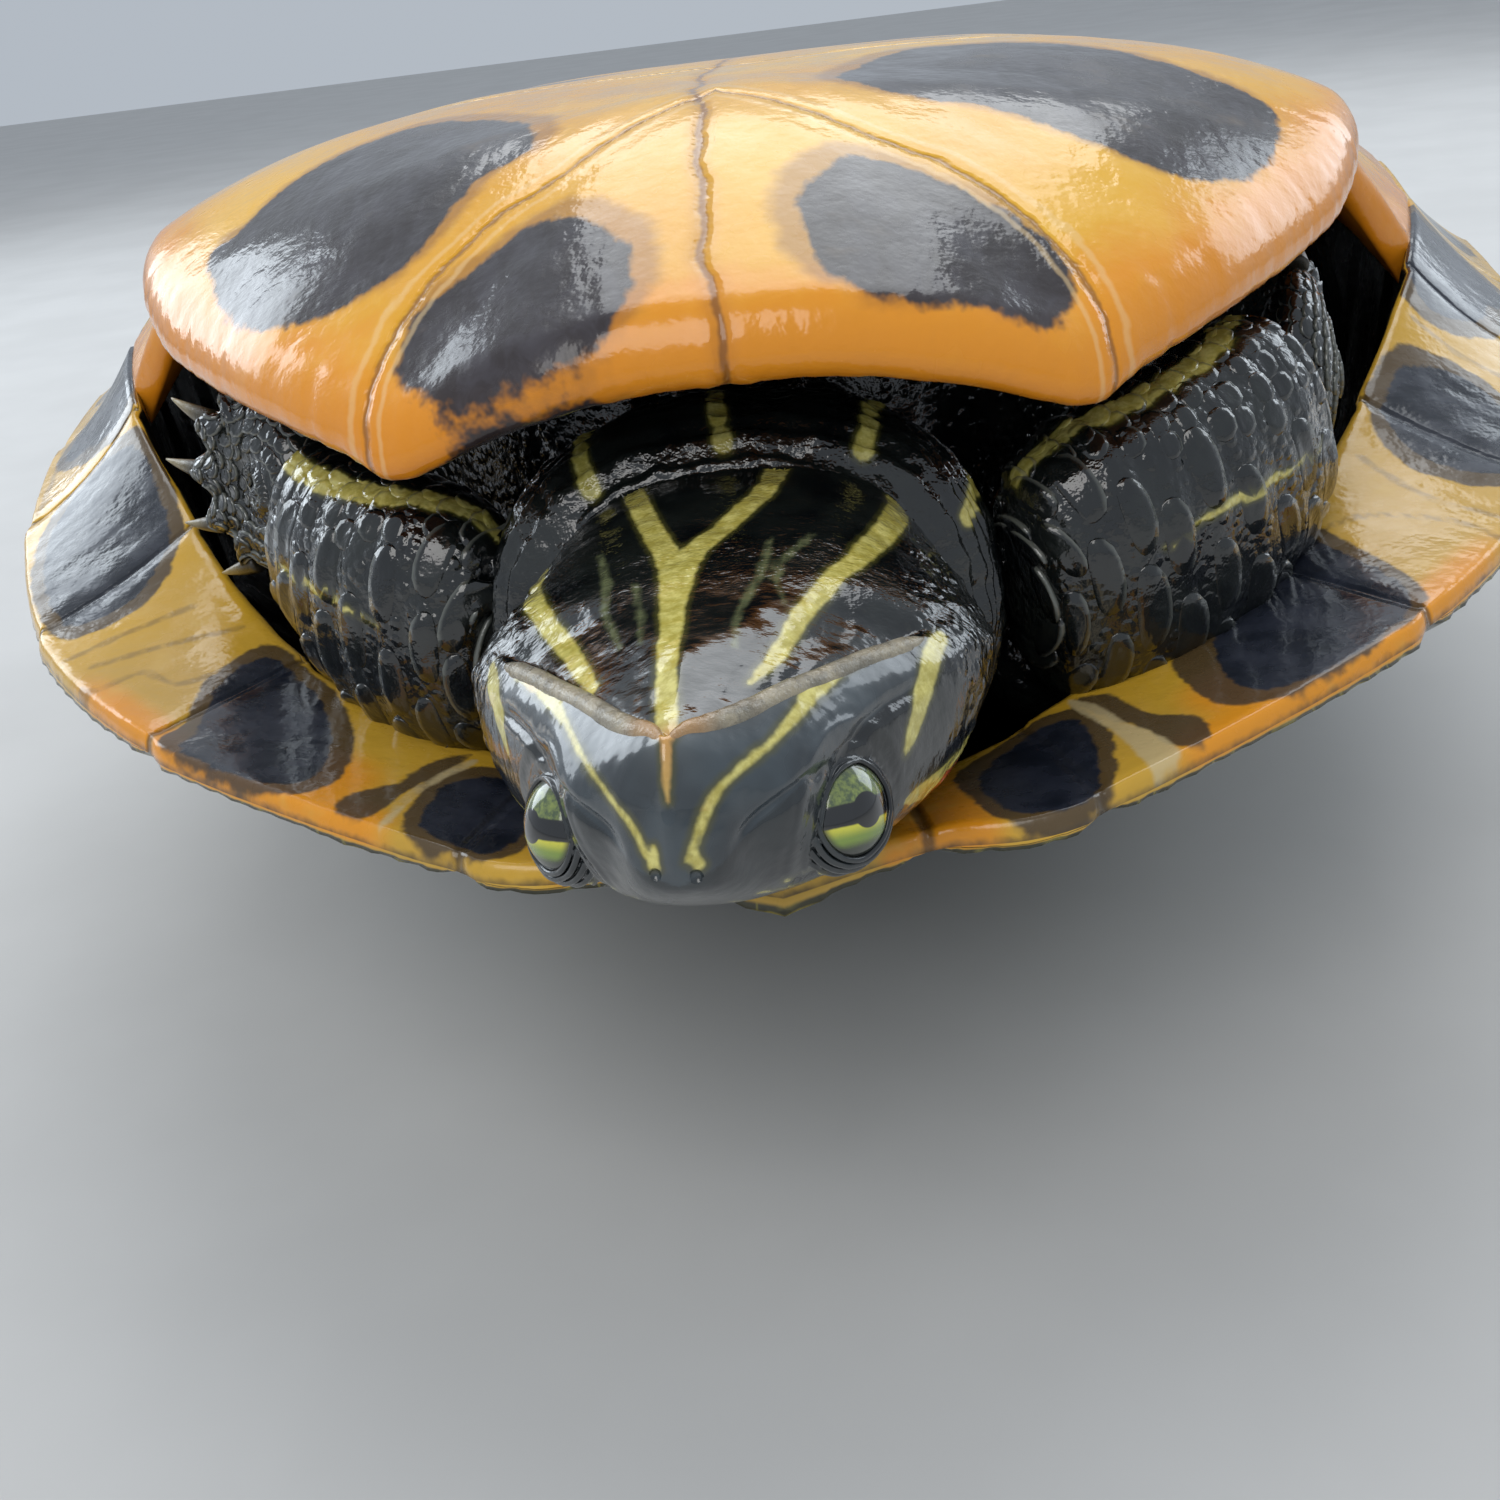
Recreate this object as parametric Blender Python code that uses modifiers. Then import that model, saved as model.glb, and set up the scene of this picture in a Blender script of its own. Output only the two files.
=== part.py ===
"""Red-eared slider (Trachemys scripta elegans), large adult female, life size.

The turtle lies on its carapace, plastron up, head half drawn in and level
with the front opening, fore limbs folded across that opening, hind limbs and
tail tucked under the rear rim.

Working frame of the functions below, in millimetres:
  x  to the animal's right, y  from the nuchal edge towards the tail,
  z  towards the plastron (up, as it lies); z = 0 is about the front rim.
place() turns it into metres with the origin at the centre of the footprint.
"""
import math

import bmesh
import bpy
from mathutils import Matrix, Vector

# ------------------------------------------------------------- dimensions --
GAP = 0.30                  # between neighbouring solids
CARAPACE_LENGTH = 262.0
FLAT_LEVEL = -50.8          # worn flat on the dome, the level of the floor
SPINE_LEVEL = -52.0         # dome along the vertebral line before the flat
SPINE_FRONT, SPINE_REAR = 122.0, 158.0
SHELL_THICK = 5.0
RIM_THICK = 2.2
PLASTRON_LEVEL = 52.6
PLASTRON_THICK = 4.6
LIP_THICK = 6.4
HEAD_SCALE = 0.97
EYE_RADIUS = 4.3
ORIGIN_Y = 119.57           # working y of the world origin

# Seams of the marginal scutes at the rim, half shell: x, y, z of the rim.
# 0 nuchal middle, 1 nuchal/M1, 2 M1/M2 ... 12 M11/M12, 13 rear middle.
RIM = [(0.0, 1.0, -5.0), (11.9, 1.5, -2.2), (25.8, 2.8, -0.9), (58.4, 23.8, 2.8),
       (78.9, 48.9, 5.4), (90.5, 76.0, 9.5), (97.5, 104.0, 12.0), (101.5, 132.0, 13.5),
       (103.0, 160.0, 14.0), (100.5, 188.0, 15.0), (91.0, 213.0, 16.8), (73.0, 236.0, 18.0),
       (43.0, 254.0, 18.5), (0.0, CARAPACE_LENGTH, 19.0)]
# underside band of the marginals: width, and rise from rim to inner edge
BAND_WIDTH = [17, 18, 19, 20, 20, 16, 13.5, 13, 13, 16, 20, 20, 20, 20]
BAND_RISE = [-5.0, -4.2, -1.6, 0.5, 7, 12, 13, 13, 12, 7.5, 5, 3.5, 2.5, 2]
# how upright the wall of the dome stands at each seam (1 = vertical)
WALL = [0.86, 0.87, 0.88, 0.92, 0.955, 0.975, 0.985, 0.985, 0.98, 0.96, 0.93, 0.90, 0.88, 0.87]
# how nearly straight the slope runs from rim to crown (0 = round)
SLOPE = [0.85, 0.85, 0.85, 0.72, 0.42, 0.14, 0.04, 0.02, 0.04, 0.12, 0.22, 0.28, 0.32, 0.34]

# plastron edge, half: front lobe, then (after the bridge) hind lobe
FRONT_LOBE = [(0.0, 11.9, 39.3), (9.0, 12.2, 38.9), (19.0, 13.6, 36.6), (28.3, 16.6, 33.2),
              (33.3, 21.0, 34.6), (42.0, 30.0, 36.2), (51.0, 42.0, 37.2), (58.0, 52.0, 38.8),
              (63.0, 63.0, 41.4), (65.3, 72.0, 42.6), (66.3, 79.0, 41.0), (70.0, 84.5, 36.0)]
HIND_LOBE = [(80.0, 175.5, 31.0), (69.0, 178.5, 37.3), (62.0, 182.5, 41.4), (59.0, 190.0, 43.5),
             (57.0, 202.0, 44.4), (51.0, 219.0, 44.8), (39.0, 235.0, 44.6), (26.0, 244.5, 44.4),
             (17.0, 247.6, 44.3), (8.0, 243.8, 44.5), (0.0, 240.5, 44.7)]
BRIDGE_FROM, BRIDGE_TO = 5.25, 8.55      # along RIM

# head frame in the working frame: origin at the tip of the upper beak
HEAD_TIP = Vector((-4.8, -21.3, 21.0))
HEAD_X = Vector((0.996, -0.087, -0.002)).normalized()
HEAD_V = Vector((0.023, 0.235, 0.972))                       # towards the throat
HEAD_V = (HEAD_V - HEAD_X * HEAD_V.dot(HEAD_X)).normalized()
HEAD_B = HEAD_V.cross(HEAD_X)                                # towards the nape
# station behind the tip, half width, crown (minus) and throat levels
HEAD_STATIONS = [(0.0, 2.2, -8.6, -0.6), (1.6, 4.8, -10.2, 0.6), (4.0, 7.4, -11.6, 1.6),
                 (8.0, 10.0, -13.2, 3.0), (12.0, 12.0, -14.4, 4.2), (17.0, 15.2, -15.5, 5.6),
                 (23.0, 18.6, -15.6, 7.6), (30.0, 20.6, -15.4, 10.4), (38.0, 20.8, -14.6, 13.4),
                 (45.0, 19.2, -13.0, 14.6), (52.0, 14.5, -10.0, 12.5)]
MOUTH_BACK, MOUTH_SLOPE = 22.5, 0.11
EYE_AT = (11.9, 11.5, -8.6)              # middle of the cornea, head frame
EYE_AXIS = Vector((0.86, -0.38, -0.34)).normalized()

COLLECTION = bpy.data.collections.new("red_eared_slider")
CUTTERS = bpy.data.collections.new("cutters")


def clear_scene():
    for ob in list(bpy.data.objects):
        bpy.data.objects.remove(ob, do_unlink=True)
    bpy.context.scene.collection.children.link(COLLECTION)
    bpy.context.scene.collection.children.link(CUTTERS)


def material(name, rgb, rough, metallic=0.0):
    m = bpy.data.materials.new(name)
    m.use_nodes = True
    b = m.node_tree.nodes["Principled BSDF"]
    b.inputs["Base Color"].default_value = (*rgb, 1.0)
    b.inputs["Roughness"].default_value = rough
    b.inputs["Metallic"].default_value = metallic
    m.diffuse_color = (*rgb, 1.0)
    return m


def place(p):
    return Vector((p[0] * 0.001, (p[1] - ORIGIN_Y) * 0.001, (p[2] - FLAT_LEVEL) * 0.001))


def spline(keys, t):
    """Catmull-Rom through equally spaced keys (tuples or numbers), t in 0..1."""
    n = len(keys) - 1
    f = min(max(t, 0.0), 1.0) * n
    i = min(int(f), n - 1)
    f -= i
    if not isinstance(keys[0], (tuple, list, Vector)):
        keys = [(k,) for k in keys]
        return spline(keys, t)[0]
    p0, p1 = keys[max(i - 1, 0)], keys[i]
    p2, p3 = keys[i + 1], keys[min(i + 2, n)]
    return tuple(0.5 * (2 * b + (c - a) * f + (2 * a - 5 * b + 4 * c - d) * f * f
                        + (3 * b - a - 3 * c + d) * f ** 3)
                 for a, b, c, d in zip(p0, p1, p2, p3))


def along(keys, x):
    """Linear look-up of the remaining columns of a table by its first column."""
    if x <= keys[0][0]:
        return keys[0][1:]
    for a, b in zip(keys, keys[1:]):
        if x <= b[0]:
            f = (x - a[0]) / (b[0] - a[0])
            f = f * f * (3 - 2 * f) * 0.4 + f * 0.6
            return tuple(p + (q - p) * f for p, q in zip(a[1:], b[1:]))
    return keys[-1][1:]


def finish(bm, name, mat, smooth=True):
    """Turn a bmesh in the working frame into a placed object."""
    for v in bm.verts:
        v.co = place(v.co)
    bmesh.ops.recalc_face_normals(bm, faces=bm.faces[:])
    if bm.calc_volume(signed=True) < 0 and all(e.is_manifold for e in bm.edges):
        bmesh.ops.reverse_faces(bm, faces=bm.faces[:])
    me = bpy.data.meshes.new(name)
    bm.to_mesh(me)
    bm.free()
    ob = bpy.data.objects.new(name, me)
    COLLECTION.objects.link(ob)
    me.materials.append(mat)
    if smooth:
        me.shade_smooth()
    return ob


def swept_half(name, mat, columns, rows, point):
    """Half shell: a grid bent by point(column, row) and closed by a mirror at x = 0.

    Every border vertex of the grid lies on the mirror plane."""
    bm = bmesh.new()
    bmesh.ops.create_grid(bm, x_segments=columns, y_segments=rows, size=1.0)
    for v in bm.verts:
        i = round((v.co.x + 1) / 2 * columns)
        j = round((v.co.y + 1) / 2 * rows)
        p = point(i, j)
        edge = i in (0, columns) or j in (0, rows)
        v.co = Vector((0.0 if edge else max(p[0], 0.25), p[1], p[2]))
    ob = finish(bm, name, mat)
    m = ob.modifiers.new("Mirror", "MIRROR")
    m.use_axis = (True, False, False)
    m.merge_threshold = 0.00001
    return ob


def rounded(name, mat, segments, rings, point):
    """Closed body: a sphere's rings and segments moved by point(ring 0..1, angle)."""
    bm = bmesh.new()
    bmesh.ops.create_uvsphere(bm, u_segments=segments, v_segments=rings, radius=1.0)
    for v in bm.verts:
        j = round(math.acos(max(-1.0, min(1.0, v.co.z))) / math.pi * rings)
        a = 0.0 if j in (0, rings) else math.atan2(v.co.y, v.co.x)
        v.co = Vector(point(j / rings, a))
    return finish(bm, name, mat)


def bake(ob):
    """Replace an object's mesh by its evaluated one, so that it can cut others."""
    dg = bpy.context.evaluated_depsgraph_get()
    me = bpy.data.meshes.new_from_object(ob.evaluated_get(dg))
    ob.modifiers.clear()
    ob.data = me
    me.name = ob.name


def outwards(ob):
    bm = bmesh.new()
    bm.from_mesh(ob.data)
    bmesh.ops.recalc_face_normals(bm, faces=bm.faces[:])
    if bm.calc_volume(signed=True) < 0:
        bmesh.ops.reverse_faces(bm, faces=bm.faces[:])
    bm.to_mesh(ob.data)
    bm.free()


def carve(ob, neighbours, gap=GAP, op="DIFFERENCE"):
    """Take the neighbours, grown by the gap, out of a body and keep its largest part."""
    for nb in neighbours:
        bm = bmesh.new()
        bm.from_mesh(nb.data)
        bm.normal_update()
        shift = {v: v.normal * gap * 0.001 for v in bm.verts}
        for v, d in shift.items():
            v.co += d
        me = bpy.data.meshes.new("grown")
        bm.to_mesh(me)
        bm.free()
        cut = bpy.data.objects.new("grown_" + nb.name, me)
        cut.hide_render = True
        cut.display_type = "WIRE"
        CUTTERS.objects.link(cut)
        m = ob.modifiers.new("cut", "BOOLEAN")
        m.operation = op
        m.solver = "EXACT"
        m.object = cut
        bake(ob)
        bpy.data.objects.remove(cut, do_unlink=True)
    tidy(ob)


def tidy(ob, flat=0.03):
    bm = bmesh.new()
    bm.from_mesh(ob.data)
    bmesh.ops.remove_doubles(bm, verts=bm.verts[:], dist=0.00003)
    bmesh.ops.dissolve_degenerate(bm, edges=bm.edges[:], dist=0.00003)
    bmesh.ops.dissolve_limit(bm, angle_limit=flat, verts=bm.verts[:], edges=bm.edges[:])
    bmesh.ops.triangulate(bm, faces=bm.faces[:])
    todo, islands = set(bm.faces), []
    while todo:
        stack, island = [todo.pop()], []
        while stack:
            f = stack.pop()
            island.append(f)
            for e in f.edges:
                for g in e.link_faces:
                    if g in todo:
                        todo.discard(g)
                        stack.append(g)
        islands.append(island)
    islands.sort(key=lambda fs: -sum(f.calc_area() for f in fs))
    for island in islands[1:]:
        bmesh.ops.delete(bm, geom=island, context="FACES")
    loose = [v for v in bm.verts if not v.link_faces]
    bmesh.ops.delete(bm, geom=loose, context="VERTS")
    bm.to_mesh(ob.data)
    bm.free()


# ---------------------------------------------------------------- carapace --
def rim_at(k):
    """Rim point, spine point, band width and rise at seam number k (0..13)."""
    t = k / 13.0
    x, y, z = spline(RIM, t)
    # each marginal's hind corner stands a little proud of the next one
    step = (k % 1.0) ** 2 if 1.0 < k < 13.0 else 0.0
    ys = SPINE_FRONT + (SPINE_REAR - SPINE_FRONT) * (0.5 - 0.5 * math.cos(math.pi * t))
    d = Vector((x, y - ys, 0.0))
    d = d.normalized() if d.length > 1e-6 else Vector((0, -1, 0))
    r = Vector((x, y, z)) + d * (1.4 * step)
    return (r, Vector((0.0, ys, SPINE_LEVEL)), spline(BAND_WIDTH, t), spline(BAND_RISE, t),
            spline(WALL, t), spline(SLOPE, t))


def dome(k, s):
    """Outer surface from the vertebral line (s = 0) to the rim (s = 1)."""
    r, c, _, _, wall, slope = rim_at(k)
    g = (1 - math.sqrt(1 - (wall * s) ** 2)) / (1 - math.sqrt(1 - wall * wall))
    g += (s ** 1.12 - g) * slope
    p = c + (r - c) * s
    p.z = c.z + (r.z - c.z) * g
    return p


OUTER_S = [0.0, 0.12, 0.26, 0.42, 0.56, 0.68, 0.78, 0.86, 0.925, 0.97, 1.0]


def carapace_point(k, j):
    r, c, width, rise, _, _ = rim_at(k)
    inward = Vector((c.x - r.x, c.y - r.y, 0.0))
    reach = inward.length
    inward.normalize()
    if j < len(OUTER_S):
        p = dome(k, OUTER_S[j])
        p.z = max(p.z, FLAT_LEVEL)
        return p
    j -= len(OUTER_S)
    if j == 0:
        return r + inward * 0.7 + Vector((0, 0, RIM_THICK))
    if j == 1:
        return r + inward * (width * 0.45) + Vector((0, 0, RIM_THICK * 0.8 + rise * 0.32))
    if j == 2:
        return r + inward * width + Vector((0, 0, 1.0 + rise))
    foot = 1 - (width + 4.0) / reach
    s = [foot, foot * 0.86, foot * 0.68, foot * 0.45, foot * 0.2, 0.0][j - 3]
    p = dome(k, s)
    p.z += SHELL_THICK + 4.5 * s ** 4
    return p


def carapace_column(i):
    """Seam number of a column: two columns for each scute."""
    return min(i * 0.5, 13.0)


def build_carapace(mat):
    rows = len(OUTER_S) + 3 + 6 - 1
    return swept_half("carapace", mat, 26, rows,
                      lambda i, j: carapace_point(carapace_column(i), j))


# ---------------------------------------------------------------- plastron --
def mid_level(y):
    """Level of the plastron along the midline: its front turns up to the neck,
    and its hind half slopes gently towards the tail."""
    if y < 52.0:
        return PLASTRON_LEVEL - 13.3 * ((52.0 - y) / 40.1) ** 1.5
    if y > 95.0:
        return PLASTRON_LEVEL - 7.6 * ((y - 95.0) / 145.0) ** 1.15
    return PLASTRON_LEVEL


def bridge_edge(k):
    p = carapace_point(k, len(OUTER_S) + 2)
    r, c = rim_at(k)[:2]
    inward = Vector((c.x - r.x, c.y - r.y, 0.0)).normalized()
    return p + inward * 0.45


FRONT_COLUMNS, BRIDGE_COLUMNS, HIND_COLUMNS = 12, 7, 11
PLASTRON_COLUMNS = FRONT_COLUMNS + BRIDGE_COLUMNS + HIND_COLUMNS


def plastron_edge(i):
    if i <= FRONT_COLUMNS:
        return Vector(spline(FRONT_LOBE, i / FRONT_COLUMNS))
    i -= FRONT_COLUMNS
    if i <= BRIDGE_COLUMNS:
        # half-seam steps, as the carapace has them, so both edges run parallel
        k = BRIDGE_FROM + (BRIDGE_TO - BRIDGE_FROM) * (i - 1) / (BRIDGE_COLUMNS - 1)
        k = round(k * 2) / 2 if 1 < i < BRIDGE_COLUMNS else k
        return bridge_edge_on(k)
    i -= BRIDGE_COLUMNS
    return Vector(spline(HIND_LOBE, (i - 1) / (HIND_COLUMNS - 1)))


def bridge_edge_on(k):
    """Edge point on the straight run between two carapace columns."""
    a = math.floor(k * 2) / 2
    f = (k - a) * 2
    return bridge_edge(a).lerp(bridge_edge(a + 0.5), f)


def plastron_point(i, u):
    """Outer surface of the plastron from its midline (u = 0) to its edge (u = 1)."""
    e = plastron_edge(i)
    n = PLASTRON_COLUMNS
    ys = 36.0 + 188.0 * (i / n)
    x, y = e.x * u, ys + (e.y - ys) * u
    bend = along([(5, 2.1), (9, 3.8), (13, 3.4), (34, 3.2)], i)[0]
    z = mid_level(y) + (e.z - mid_level(e.y)) * u ** bend
    return Vector((x, y, z))


PLASTRON_U = [0.0, 0.24, 0.47, 0.67, 0.84, 0.965]


def plastron_grid(i, j):
    e = plastron_edge(i)
    ys = 36.0 + 188.0 * (i / PLASTRON_COLUMNS)
    inward = Vector((-e.x, ys - e.y, 0.0)).normalized()
    if j < len(PLASTRON_U):
        return plastron_point(i, PLASTRON_U[j])
    j -= len(PLASTRON_U)
    if j == 0:
        return e + Vector((0, 0, -1.1))
    if j == 1:
        return e + inward * 0.35 + Vector((0, 0, -LIP_THICK * 0.6))
    if j == 2:
        return e + inward * 2.2 + Vector((0, 0, -LIP_THICK))
    u = [0.82, 0.58, 0.30, 0.0][j - 3]
    p = plastron_point(i, u)
    p.z -= PLASTRON_THICK + 1.2 * u
    return p


def build_plastron(mat):
    rows = len(PLASTRON_U) + 3 + 4 - 1
    return swept_half("plastron", mat, PLASTRON_COLUMNS, rows, plastron_grid)


# -------------------------------------------------------------------- body --
# trunk outline seen from below, half: from the nape round to the tail root
TRUNK_EDGE = [(0.0, 47.0), (17.0, 48.0), (30.0, 56.0), (43.0, 71.0), (57.0, 87.0), (72.0, 99.0),
              (80.0, 118.0), (82.0, 140.0), (78.0, 160.0), (66.0, 178.0), (55.0, 196.0),
              (42.0, 212.0), (24.0, 222.0), (0.0, 226.0)]


def build_trunk(mat, floor_of, roof_of):
    sheets = [0.0, 0.42, 0.76, 0.93, 1.0]
    rings = len(sheets) * 2

    def point(f, a):
        j = round(f * rings)
        side = 1.0 if math.cos(a) >= 0 else -1.0
        t = abs(math.atan2(math.sin(a), math.cos(a)) + math.pi / 2)
        t = t if t <= math.pi else 2 * math.pi - t
        x, y = spline(TRUNK_EDGE, t / math.pi)
        cy = 60.0 + 150.0 * (t / math.pi)
        j2 = min(j, rings - j)
        s = sheets[j2] if j2 < len(sheets) else 1.0
        px, py = side * x * s, cy + (y - cy) * s
        if j in (0, rings):
            px, py = 0.0, 135.0
        lo, hi = floor_of(px, py) + 1.2, roof_of(px, py) - 1.2
        if j2 >= len(sheets):                  # the belt round the middle
            return px * 1.012, cy + (y - cy) * 1.012, (lo + hi) / 2
        squeeze = 0.0 if s < 0.99 else (hi - lo) * 0.14
        return px, py, (lo + squeeze if j < rings / 2 else hi - squeeze)

    return rounded("trunk", mat, 24, rings, point)


def limb(name, mat, stations, segments=12, rings=10, power=2.3, lean=0.0):
    """Rounded tube through stations (x, y, z, half height, half depth)."""
    def centre(t):
        return spline(stations, t)

    def point(f, a):
        cap = 1.6 / rings
        s = spline([0.0, 0.10, 0.26, 0.42, 0.58, 0.74, 0.90, 1.0], f)
        c = centre(s)
        q = Vector(centre(min(1.0, s + 0.03))[:3]) - Vector(centre(max(0.0, s - 0.03))[:3])
        q.normalize()
        up = Vector((0, 0, 1)) - q * q.z
        up.normalize()
        side = q.cross(up)
        if lean:
            up, side = (up * math.cos(lean) + side * math.sin(lean),
                        side * math.cos(lean) - up * math.sin(lean))
        r = 1.0
        if f < cap:
            r = math.sqrt(max(0.0, 1 - (1 - f / cap) ** 2))
        if f > 1 - cap:
            r = math.sqrt(max(0.0, 1 - (1 - (1 - f) / cap) ** 2))
        ca, sa = math.cos(a), math.sin(a)
        m = (abs(ca) ** power + abs(sa) ** power) ** (-1 / power)
        return Vector(c[:3]) + up * (c[3] * r * m * ca) + side * (c[4] * r * m * sa)

    return rounded(name, mat, segments, rings, point)


def paddle(name, mat, centre, forward, up, length, height, thick, toes, reach=0.16):
    """Webbed hand or foot: flat pad whose far edge is scalloped into toes.

    Returns the object and the toe tips with their directions."""
    centre, forward, up = Vector(centre), Vector(forward).normalized(), Vector(up)
    up = (up - forward * up.dot(forward)).normalized()
    side = forward.cross(up)
    spread = math.radians(60)

    def edge(a):
        """Outline radius at angle a from the forward direction."""
        ca, sa = math.cos(a), math.sin(a)
        r = 1.0 / math.sqrt((ca / length) ** 2 + (sa / height) ** 2)
        if abs(a) < spread * 1.05:
            phase = (a / spread + 1) / 2 * (toes - 1)
            r *= 1 + reach * (0.5 + 0.5 * math.cos(2 * math.pi * phase)) - 0.04
        return r

    def point(f, a):
        h = math.sin(f * math.pi) ** 0.75 if 0 < f < 1 else 0.0
        r = edge(a) * h
        t = thick * math.cos(f * math.pi) * (0.72 + 0.28 * math.cos(a + math.pi))
        return centre + forward * (r * math.cos(a)) + up * (r * math.sin(a)) + side * t

    ob = rounded(name, mat, 4 * (toes - 1) + 8, 5, point)
    tips = []
    for n in range(toes):
        a = (2 * n / (toes - 1) - 1) * spread
        d = forward * math.cos(a * 0.4) + up * math.sin(a * 0.4)
        out = forward * math.cos(a) + up * math.sin(a)
        tips.append((centre + out * edge(a), d.normalized()))
    return ob, tips


def claw(name, mat, tip, direction, curl, length=7.5, radius=1.35):
    """Curved horn cone whose root sits 2 mm inside the toe."""
    root = tip - direction * 2.0
    curl = Vector(curl)
    curl = (curl - direction * curl.dot(direction)).normalized()

    def point(f, a):
        s = [0.0, 0.04, 0.4, 0.75, 1.0][round(f * 4)]
        bend = (s * length) ** 2 * 0.018
        c = root + direction * (s * length) + curl * bend
        r = radius * (1 - 0.88 * s ** 1.3) if 0 < f < 1 else 0.0
        side = direction.cross(curl)
        return c + (curl * math.cos(a) * 1.1 + side * math.sin(a) * 0.9) * r

    return rounded(name, mat, 6, 4, point)


# -------------------------------------------------------------------- head --
def head_to_frame(p):
    x, b, v = p
    return HEAD_TIP + (HEAD_X * x + HEAD_B * b + HEAD_V * v) * HEAD_SCALE


def head_point(f, a):
    """Ring f (0 snout .. 1 nape) and angle a of the whole head with its jaw."""
    last = HEAD_STATIONS[-1][0]
    b = last * spline([0.0, 0.012, 0.045, 0.10, 0.17, 0.26, 0.36, 0.47, 0.59, 0.71, 0.83, 0.94, 1.0], f)
    w, top, low = along(HEAD_STATIONS, b)
    cap = 1.0
    if f >= 0.999:
        cap = 0.0
    if f <= 0.001:
        cap = 0.0
    ca, sa = math.cos(a), math.sin(a)
    mid = top + (low - top) * 0.56
    power = 2.5 if sa > 0 else 2.1 + 0.4 * max(0.0, 1 - b / 20.0)
    m = (abs(ca) ** power + abs(sa) ** power) ** (-1 / power)
    x = w * m * ca
    v = mid + (m * sa * (low - mid) if sa > 0 else m * sa * (mid - top))
    # the jaws narrow towards the throat
    if v > 0.5:
        x *= 1 - 0.16 * min(1.0, (v - 0.5) / 7.0)
    return head_to_frame((x * cap, b, mid + (v - mid) * cap))


def eye_centre(side):
    at = Vector(EYE_AT) - EYE_AXIS * EYE_RADIUS
    return head_to_frame((side * at.x, at.y, at.z))


def ball(name, mat, centre, radius, segments=12, rings=6):
    return rounded(name, mat, segments, rings, lambda f, a: (
        centre[0] + radius * math.sin(f * math.pi) * math.cos(a),
        centre[1] + radius * math.sin(f * math.pi) * math.sin(a),
        centre[2] + radius * math.cos(f * math.pi)))


def mouth_block(name, shift, back):
    """Guide solid below the mouth line: everything the lower jaw may fill."""
    bm = bmesh.new()
    bmesh.ops.create_cube(bm, size=2.0)
    for v in bm.verts:
        x, b, t = v.co
        b = (b + 1) / 2 * (back + 8.0) - 8.0
        t = MOUTH_SLOPE * b - 0.3 + shift if t < 0 else 30.0
        v.co = head_to_frame((x * 40.0, b, t))
    ob = finish(bm, name, M_GUIDE, smooth=False)
    COLLECTION.objects.unlink(ob)
    CUTTERS.objects.link(ob)
    ob.hide_render = True
    ob.display_type = "WIRE"
    return ob


clear_scene()
M_CARAPACE = material("carapace_horn", (0.045, 0.045, 0.022), 0.30)
M_PLASTRON = material("plastron_horn", (0.82, 0.42, 0.08), 0.28)
M_SKIN = material("skin", (0.030, 0.036, 0.022), 0.42)
M_BEAK = material("beak_horn", (0.09, 0.10, 0.085), 0.25)
M_EYE = material("eye", (0.45, 0.47, 0.05), 0.06)
M_CLAW = material("claw_horn", (0.22, 0.18, 0.09), 0.35)
M_GUIDE = material("guide", (0.5, 0.5, 0.5), 0.5)

carapace = build_carapace(M_CARAPACE)
plastron = build_plastron(M_PLASTRON)
for shell in (carapace, plastron):
    bake(shell)
    outwards(shell)
    tidy(shell)

# --- head, lower jaw, eyes ---
head = rounded("head", M_SKIN, 18, 12, head_point)
jaw = rounded("lower_jaw", M_BEAK, 18, 12, head_point)
eyes = [ball("eye_R", M_EYE, eye_centre(1), EYE_RADIUS * HEAD_SCALE),
        ball("eye_L", M_EYE, eye_centre(-1), EYE_RADIUS * HEAD_SCALE)]
below = mouth_block("mouth_cut_head", -0.16, MOUTH_BACK + 0.16)
inside = mouth_block("mouth_cut_jaw", 0.16, MOUTH_BACK - 0.16)
carve(head, [below], gap=0.0)
carve(jaw, [inside], gap=0.0, op="INTERSECT")
carve(head, eyes + [carapace])
for guide in (below, inside):
    bpy.data.objects.remove(guide, do_unlink=True)

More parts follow.
